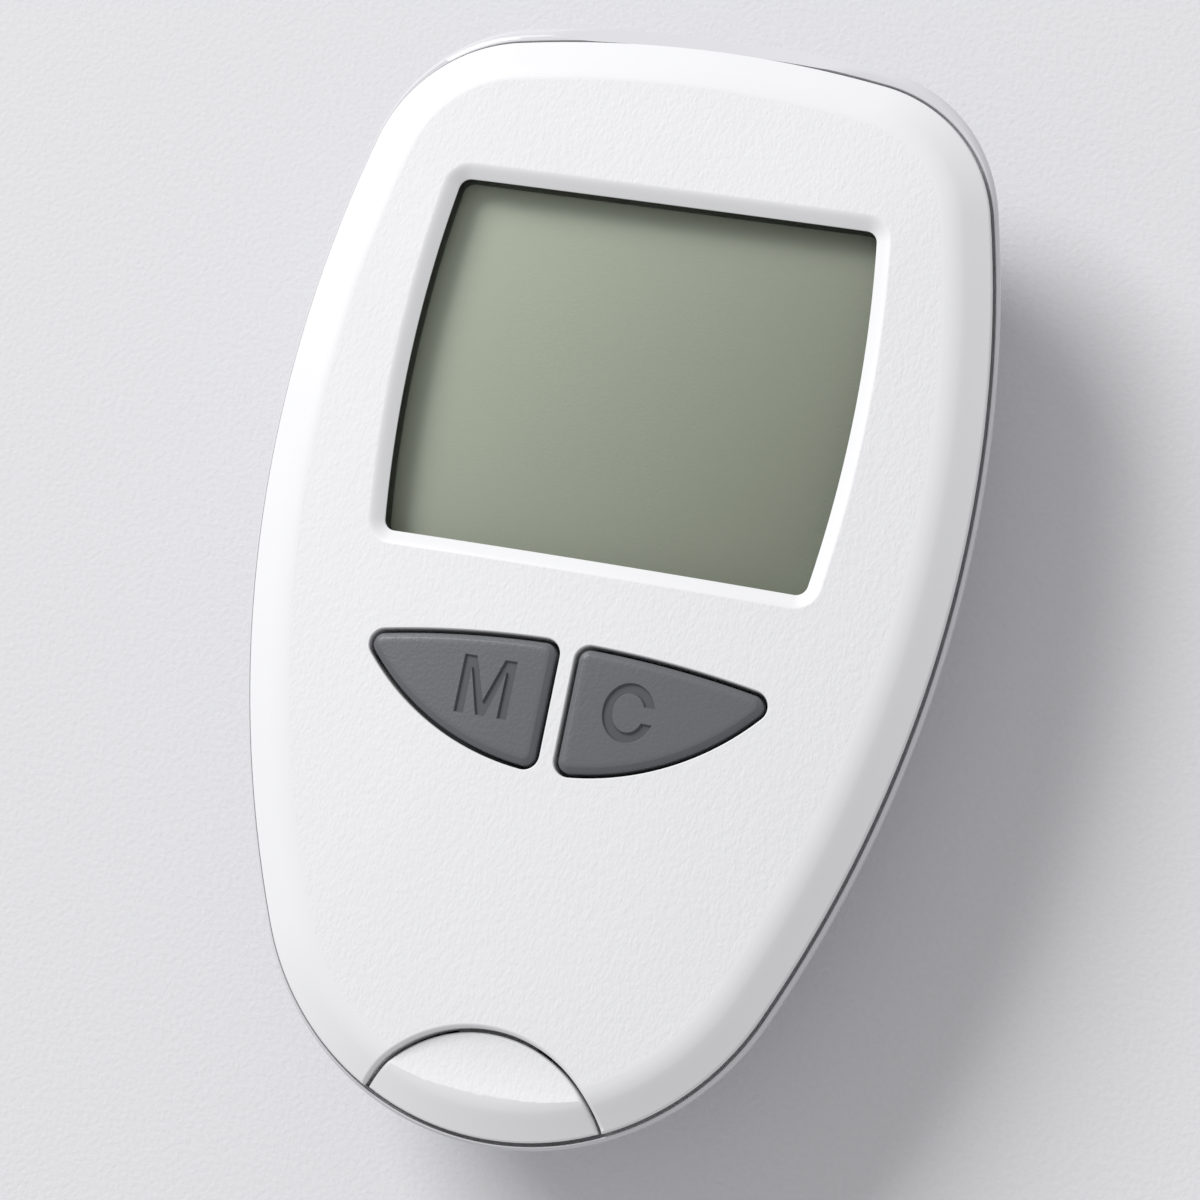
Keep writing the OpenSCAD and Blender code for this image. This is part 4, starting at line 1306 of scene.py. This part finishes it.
@dataclass
class RearCase:
    """The lower shell with its lip, nose, scoop, strip slot and battery bay."""

    sizes: Sizes
    egg: Egg
    bay_w: float = 22.8
    bay_low_y: float = -35.3
    bay_high_y: float = 13.8
    bay_top_z: float = 12.25
    door_w: float = 24.4
    door_high_y: float = 15.4
    door_t: float = 1.4
    tongue_w: float = 0.9
    tongue_z: float = 0.4
    fit: float = 0.1
    slot_w: float = 8.4
    slot_h: float = 0.9
    strip_z: float = 14.65
    scoop_w: float = 21.6
    scoop_d: float = 0.6
    scoop_tilt_deg: float = -25.0
    post_z: float = 1.9
    boss_h: float = 8.8
    standoff: Point = (19.5, -5.65)
    standoff_r: float = 2.1
    standoff_h: float = 11.1
    spring: Point = (4.4, -42.3)
    spring_seat_r: float = 1.8
    spring_seat_h: float = 7.5
    groove_out: float = 0.2
    groove_in: float = 0.85
    groove_h: float = 0.92
    groove_nose: float = 0.16

    def outer(self) -> list[Station]:
        """Stations of the outer skin, from the flat back up to the rim."""
        s, z = self.sizes, self.sizes.part_z
        n = s.nose_out
        swept = track(
            (-9.6, 0), (-8.2, 0.25), (-6.4, 1.1), (-4.6, 2.9), (-3.1, 5.6), (-1.8, 9),
            (-0.7, z - 4, n * 0.35), (s.lip * 0.5, z - 2.2, n * 0.8), (s.lip, z - 0.9, n),
        )
        rim = track(
            (s.lip, z - 0.9, n), (s.lip, z - s.reveal_h, n * 0.7), (s.lip - 0.2, z, n * 0.45)
        )
        return [*eased(swept, 4), *eased(rim, 3)[1:]]

    def inner(self) -> list[Station]:
        """Stations of the inside, from the rim down to the floor."""
        s, z, f = self.sizes, self.sizes.part_z, self.sizes.case_floor
        out, back, nose = self.groove_out, self.groove_in, self.groove_nose
        foot = z - self.groove_h
        return track(
            (out + 0.05, z, nose), (out, z - 0.06, nose), (out, foot, nose), (-back, foot),
            (-back, z), (-s.case_wall, z), (-s.case_wall, z - 2), (-2.5, z - 3.8), (-3.6, 9.2),
            (-5, 5.9), (-6.6, f + 1.8), (-8.6, f + 0.3), (-10.4, f),
        )

    def skin(self, name: str, closed: bool = False) -> Piece:
        """The shell, or the solid outer form when closed."""
        stations = self.outer() if closed else [*self.outer(), *self.inner()]
        return Bench.loft(name, [self.egg.ring(s) for s in stations])

    def fit_out(self, shell: Piece) -> None:
        """Adds the battery bay's walls, the screw bosses, the standoffs and the spring seats."""
        y = (self.bay_low_y - 1, self.bay_high_y + 1)
        walls = Bench.slab("walls", self.bay_w / 2 + 1, y, (1, self.bay_top_z + 0.6))
        Bench.join(shell, Join.ADD, walls)
        for spot in self.sizes.bosses:
            self.plant(shell, self.post(spot, self.sizes.boss_r, self.boss_h))
        for side in (-1, 1):
            spot = (side * self.standoff[0], self.standoff[1])
            Bench.join(shell, Join.ADD, self.post(spot, self.standoff_r, self.standoff_h))
            spot = (side * self.spring[0], self.spring[1])
            self.plant(shell, self.post(spot, self.spring_seat_r, self.spring_seat_h))

    def post(self, spot: Point, radius: float, height: float) -> Piece:
        """A round post that stands on the case's floor."""
        return Bench.drum("post", (*spot, self.post_z), radius, height)

    def plant(self, shell: Piece, post: Piece) -> None:
        """Adds a post that is first cut off just inside the outer skin.

        Args:
            shell: The case that the post joins.
            post: The whole post, which may reach out of the tapered case.
        """
        form = [self.egg.ring(Station(k.offset - 0.4, k.height, k.nose)) for k in self.outer()]
        Bench.join(post, Join.KEEP, Bench.loft("form", form))
        Bench.join(shell, Join.ADD, post)

    def cut_bay(self, shell: Piece) -> None:
        """Opens the battery bay and lets the door's shelf and grooves into the back."""
        fit, high = self.fit, self.door_high_y
        half, bay_y = self.door_w / 2, (self.bay_low_y, self.bay_high_y)
        door_y = (self.sizes.low_y - 9, high + fit)
        groove_z = (self.tongue_z - fit, self.tongue_z + 0.7)
        Bench.join(
            shell,
            Join.CUT,
            Bench.slab("bay", self.bay_w / 2, bay_y, (-1, self.bay_top_z)),
            Bench.slab("shelf", half + fit, door_y, (-1, self.door_t + fit)),
            Bench.slab("groove", half + self.tongue_w + fit, door_y, groove_z),
            Bench.slab("catch", 3.2, (high - 1, high + 1.1), (0.5, 1.5)),
        )
        rib = Bench.slab("rib", 1.75, (bay_y[0] - 0.5, bay_y[1] + 0.5), (10.85, 12.5))
        Bench.join(shell, Join.ADD, rib)
        channel = Bench.slab("channel", 1.2, (bay_y[0] - 3, bay_y[1] + 3), (11.4, 14))
        Bench.join(shell, Join.CUT, channel)

    def drill(self, shell: Piece) -> None:
        """Drills the screw holes with a small lead-in at the back."""
        profile = ((2.9, -1.0), (2.45, 0.18), (2.2, 0.42), (2.2, 4.6))
        for spot in self.sizes.bosses:
            hole = Bench.drum("hole", (*spot, -1), 1.15, 16, 48)
            sink = [[(x, y, z) for x, y in circle(spot, r, 64)] for r, z in profile]
            Bench.join(shell, Join.CUT, hole, Bench.loft("sink", sink))

    def cut_rim(self, shell: Piece) -> None:
        """Lets the rim down under the ejector button, inside the outer lip."""
        s = self.sizes
        low = s.part_z - s.eject_travel - 0.25
        drum = Bench.drum("let_down", (0, s.eject_y, low), s.eject_r + 0.3, 4, 160)
        Bench.join(drum, Join.KEEP, self.egg.plate(0.13, 10, 22))
        Bench.join(shell, Join.CUT, drum)

    def cut_nose(self, shell: Piece) -> None:
        """Cuts the strip slot, its flared mouth and the shallow scoop over it."""
        w, h, z, top = self.slot_w / 2, self.slot_h / 2, self.strip_z, self.sizes.top_y
        slot = Bench.slab("slot", w, (top - 4, top + 6), (z - h, z + h))
        ends = ((w, top + 0.2, z - h), (w + 1.6, top + 3, z - h - 1.4))
        mouth = Bench.loft(
            "mouth",
            [[(-x, y, low), (-x, y, z + h), (x, y, z + h), (x, y, low)] for x, y, low in ends],
        )
        Bench.join(shell, Join.CUT, slot, mouth, self.scoop())

    def scoop(self) -> Piece:
        """The lower cap of a large ball, tilted to the nose."""
        s = self.sizes
        radius = 1 / (8 * self.scoop_d / self.scoop_w**2 - 0.5 / self.egg.nose_r)
        rings = []
        for a in (math.radians(k * 0.5) for k in range(1, 15)):
            z = radius - self.scoop_d - radius * math.cos(a)
            rings.append([(x, y, z) for x, y in circle((0, 0), radius * math.sin(a), 120)])
        rings.append([(x, y, z + 2) for x, y, z in rings[-1]])
        cap = Bench.loft("scoop", rings)
        turn = Matrix.Rotation(math.radians(self.scoop_tilt_deg), 4, "X")
        spot = Vector((0, s.top_y + s.lip + s.nose_out * 0.55, s.part_z - 0.35))
        cap.data.transform(Matrix.Translation(spot * MM) @ turn)
        return cap

    def build(self) -> Piece:
        """Makes the finished case."""
        shell = self.skin("case_moulding")
        self.fit_out(shell)
        self.cut_bay(shell)
        self.drill(shell)
        self.cut_rim(shell)
        self.cut_nose(shell)
        Bench.finish(shell)
        dress(shell, Palette.case, Palette.under)
        for face in shell.data.polygons:
            face.material_index = 1 if face.center.z < 2.2 * MM else 0
        Bench.lead_by_area(shell)
        return settle(shell, "housing", "case_white", "rear_case")


@dataclass
class BatteryDoor:
    """A slice of the case's back with tongues, grip grooves and a catch."""

    case: RearCase
    groove_count: int = 5
    groove_pitch: float = 2.0

    def build(self) -> Piece:
        """Makes the finished door."""
        c, low, high = self.case, self.case.sizes.low_y - 5, self.case.door_high_y
        piece = Bench.slab("door_plate", c.door_w / 2, (low, high), (-1, c.door_t))
        tongue_z = (c.tongue_z, c.tongue_z + 0.6)
        tongue = Bench.slab("tongue", c.door_w / 2 + c.tongue_w, (low, high - 2), tongue_z)
        Bench.join(piece, Join.ADD, tongue)
        Bench.join(piece, Join.KEEP, c.skin("form", closed=True))
        for k in range(self.groove_count):
            y = c.bay_low_y + 6 + k * self.groove_pitch
            Bench.join(piece, Join.CUT, Bench.drum("groove", (-6, y, -0.35), 0.65, 12, 40, ACROSS))
        for x in (-3.4, 3.4):
            slit = Bench.block("slit", (x - 0.4, high - 8, -1), (x + 0.4, high + 1, 3))
            Bench.join(piece, Join.CUT, slit)
        Bench.join(piece, Join.ADD, Bench.slab("nose", 2.8, (high - 0.3, high + 0.8), (0.6, 1.35)))
        Bench.finish(piece)
        piece.name = "battery_door_panel"
        dress(piece, Palette.under)
        return settle(piece, "door", "case_white", "battery_door")


# ---------------------------------------------------------------- carried-over nodes


@dataclass(frozen=True)
class Carried:
    """CAD nodes that stay as they are and get a finish."""

    groups: tuple[tuple[Finish, tuple[str, ...]], ...] = (
        (Palette.pane, ("display_window",)),
        (Palette.film, ("lcd_polariser",)),
        (Palette.glass, ("lcd_glass",)),
        (Palette.foil, ("lcd_reflector",)),
        (Palette.holder, ("lcd_holder",)),
        (Palette.rubber, ("zebra_strip",)),
        (Palette.board, ("circuit_board",)),
        (Palette.chip, ("processor", "memory_chip", "buzzer")),
        (Palette.chip, ("memory_plunger", "control_plunger")),
        (Palette.can, ("crystal", "memory_switch", "control_switch", "cell_plates")),
        (Palette.ivory, ("strip_connector",)),
        (Palette.gold, ("strip_contacts",)),
        (Palette.acetal, ("eject_bar",)),
        (Palette.spring, ("eject_springs", "cell_springs")),
        (Palette.jacket, ("cell_left", "cell_right")),
        (Palette.screw, ("case_screws", "board_screws")),
    )

    def dress_all(self, nodes: dict[str, Piece]) -> None:
        """Gives each carried-over node its finish."""
        for finish, names in self.groups:
            for name in names:
                dress(nodes[name], finish)
            log.info("finish %s: %s", finish.name, ", ".join(names))


# ---------------------------------------------------------------- studio


@dataclass(frozen=True)
class Studio:
    """Camera, lamp, sky and the pale table that the meter lies on."""

    lens_mm: float = 99.259
    turns_deg: tuple[float, float, float] = (-9.33110732, -14.91770374, -11.79800638)
    shift_mm: tuple[float, float] = (0.21920420, 4.99893733)
    distance_mm: float = 276.12414557
    datum_mm: tuple[float, float, float] = (0.0, 2.87, 16.4)
    fibre_mm: float = 0.5
    fibre_depth_mm: float = 0.06

    def camera(self) -> None:
        """Stands the camera where the photograph was taken from."""
        rx, ry, rz = (math.radians(a) for a in self.turns_deg)
        turn = (
            Matrix.Rotation(rz, 3, "Z") @ Matrix.Rotation(rx, 3, "X") @ Matrix.Rotation(ry, 3, "Y")
        )
        back = Vector((-self.shift_mm[0], -self.shift_mm[1], self.distance_mm))
        at = (turn.transposed() @ back + Vector(self.datum_mm)) * MM
        data = bpy.data.cameras.new("camera")
        data.lens = self.lens_mm
        data.sensor_width = 36
        data.clip_start = 0.01
        camera = bpy.data.objects.new("camera", data)
        camera.matrix_world = Matrix.Translation(at) @ turn.transposed().to_4x4()
        bpy.context.scene.collection.objects.link(camera)
        bpy.context.scene.camera = camera

    def lamp(self, name: str, at: Sequence[float], size: float, watts: float) -> None:
        """A square soft lamp in metres, aimed at the meter."""
        data = bpy.data.lights.new(name, "AREA")
        data.shape, data.size, data.energy = "SQUARE", size, watts
        lamp = bpy.data.objects.new(name, data)
        lamp.location = at
        aim = Vector((0, 0, 0.01)) - Vector(at)
        lamp.rotation_euler = aim.to_track_quat("-Z", "Y").to_euler()
        bpy.context.scene.collection.objects.link(lamp)

    def floor(self) -> None:
        """A pale sheet of matte board that runs out of view."""
        bpy.ops.object.select_all(action="DESELECT")
        bpy.ops.mesh.primitive_plane_add(size=6, location=(0, 0, -0.00005))
        table = bpy.context.active_object
        table.name = "table"
        material, tree = blank("matte_paper_table")
        fibre = noise(tree, object_place(tree), self.fibre_mm, 4.0).outputs[0]
        inputs = {
            "Base Color": blend(tree, fibre, linear("#DFDFE1"), linear("#D8D8DA")),
            "Roughness": 0.85,
            "Specular IOR Level": 0.2,
            "Normal": bump(tree, fibre, self.fibre_depth_mm),
        }
        show(material, inputs)
        table.data.materials.append(material)

    def world(self) -> None:
        """Even pale light from all round."""
        world = bpy.data.worlds.new("studio")
        world.use_nodes = True
        tree = world.node_tree
        tree.nodes.clear()
        sky = add_node(
            tree, "ShaderNodeBackground", inputs={"Color": linear("#EFEFF1"), "Strength": 0.6}
        )
        add_node(tree, "ShaderNodeOutputWorld", inputs={"Surface": sky.outputs[0]})
        bpy.context.scene.world = world

    def build(self) -> None:
        """Sets up the whole studio."""
        self.camera()
        self.floor()
        self.world()
        self.lamp("key", (-1.66, 1.4, 1.75), 1.4, 70.5)
        bpy.context.scene.view_settings.view_transform = "Standard"


# ---------------------------------------------------------------- main


def clear_scene() -> None:
    """Removes what a new Blender file starts with."""
    for thing in list(bpy.data.objects):
        bpy.data.objects.remove(thing)


def main() -> None:
    """Builds the meter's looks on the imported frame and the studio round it."""
    logging.basicConfig(level=logging.INFO, format="%(name)s %(message)s")
    clear_scene()
    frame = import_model()
    sizes = Sizes()
    egg = Egg(sizes)
    keys = (KeyOutline(Side.LEFT), KeyOutline(Side.RIGHT))
    cover = FrontCover(sizes, egg, WindowOutline(), keys)
    cover.build()
    letters = (
        Letter(-8.5, -13.85, 4.5, 4.8).capital_m(),
        Letter(3.9, -14.05, 4.3, 4.9).capital_c(),
    )
    for role, outline, letter in zip(("memory", "control"), keys, letters):
        node = f"{role}_key"
        Key(f"{node}_cap", node, f"{role}_button", outline, letter, cover.surface).build()
    EjectButton(sizes, egg).build()
    case = RearCase(sizes, egg)
    case.build()
    BatteryDoor(case).build()
    Carried().dress_all(frame["nodes"])
    Studio().build()


if __name__ == "__main__":
    main()
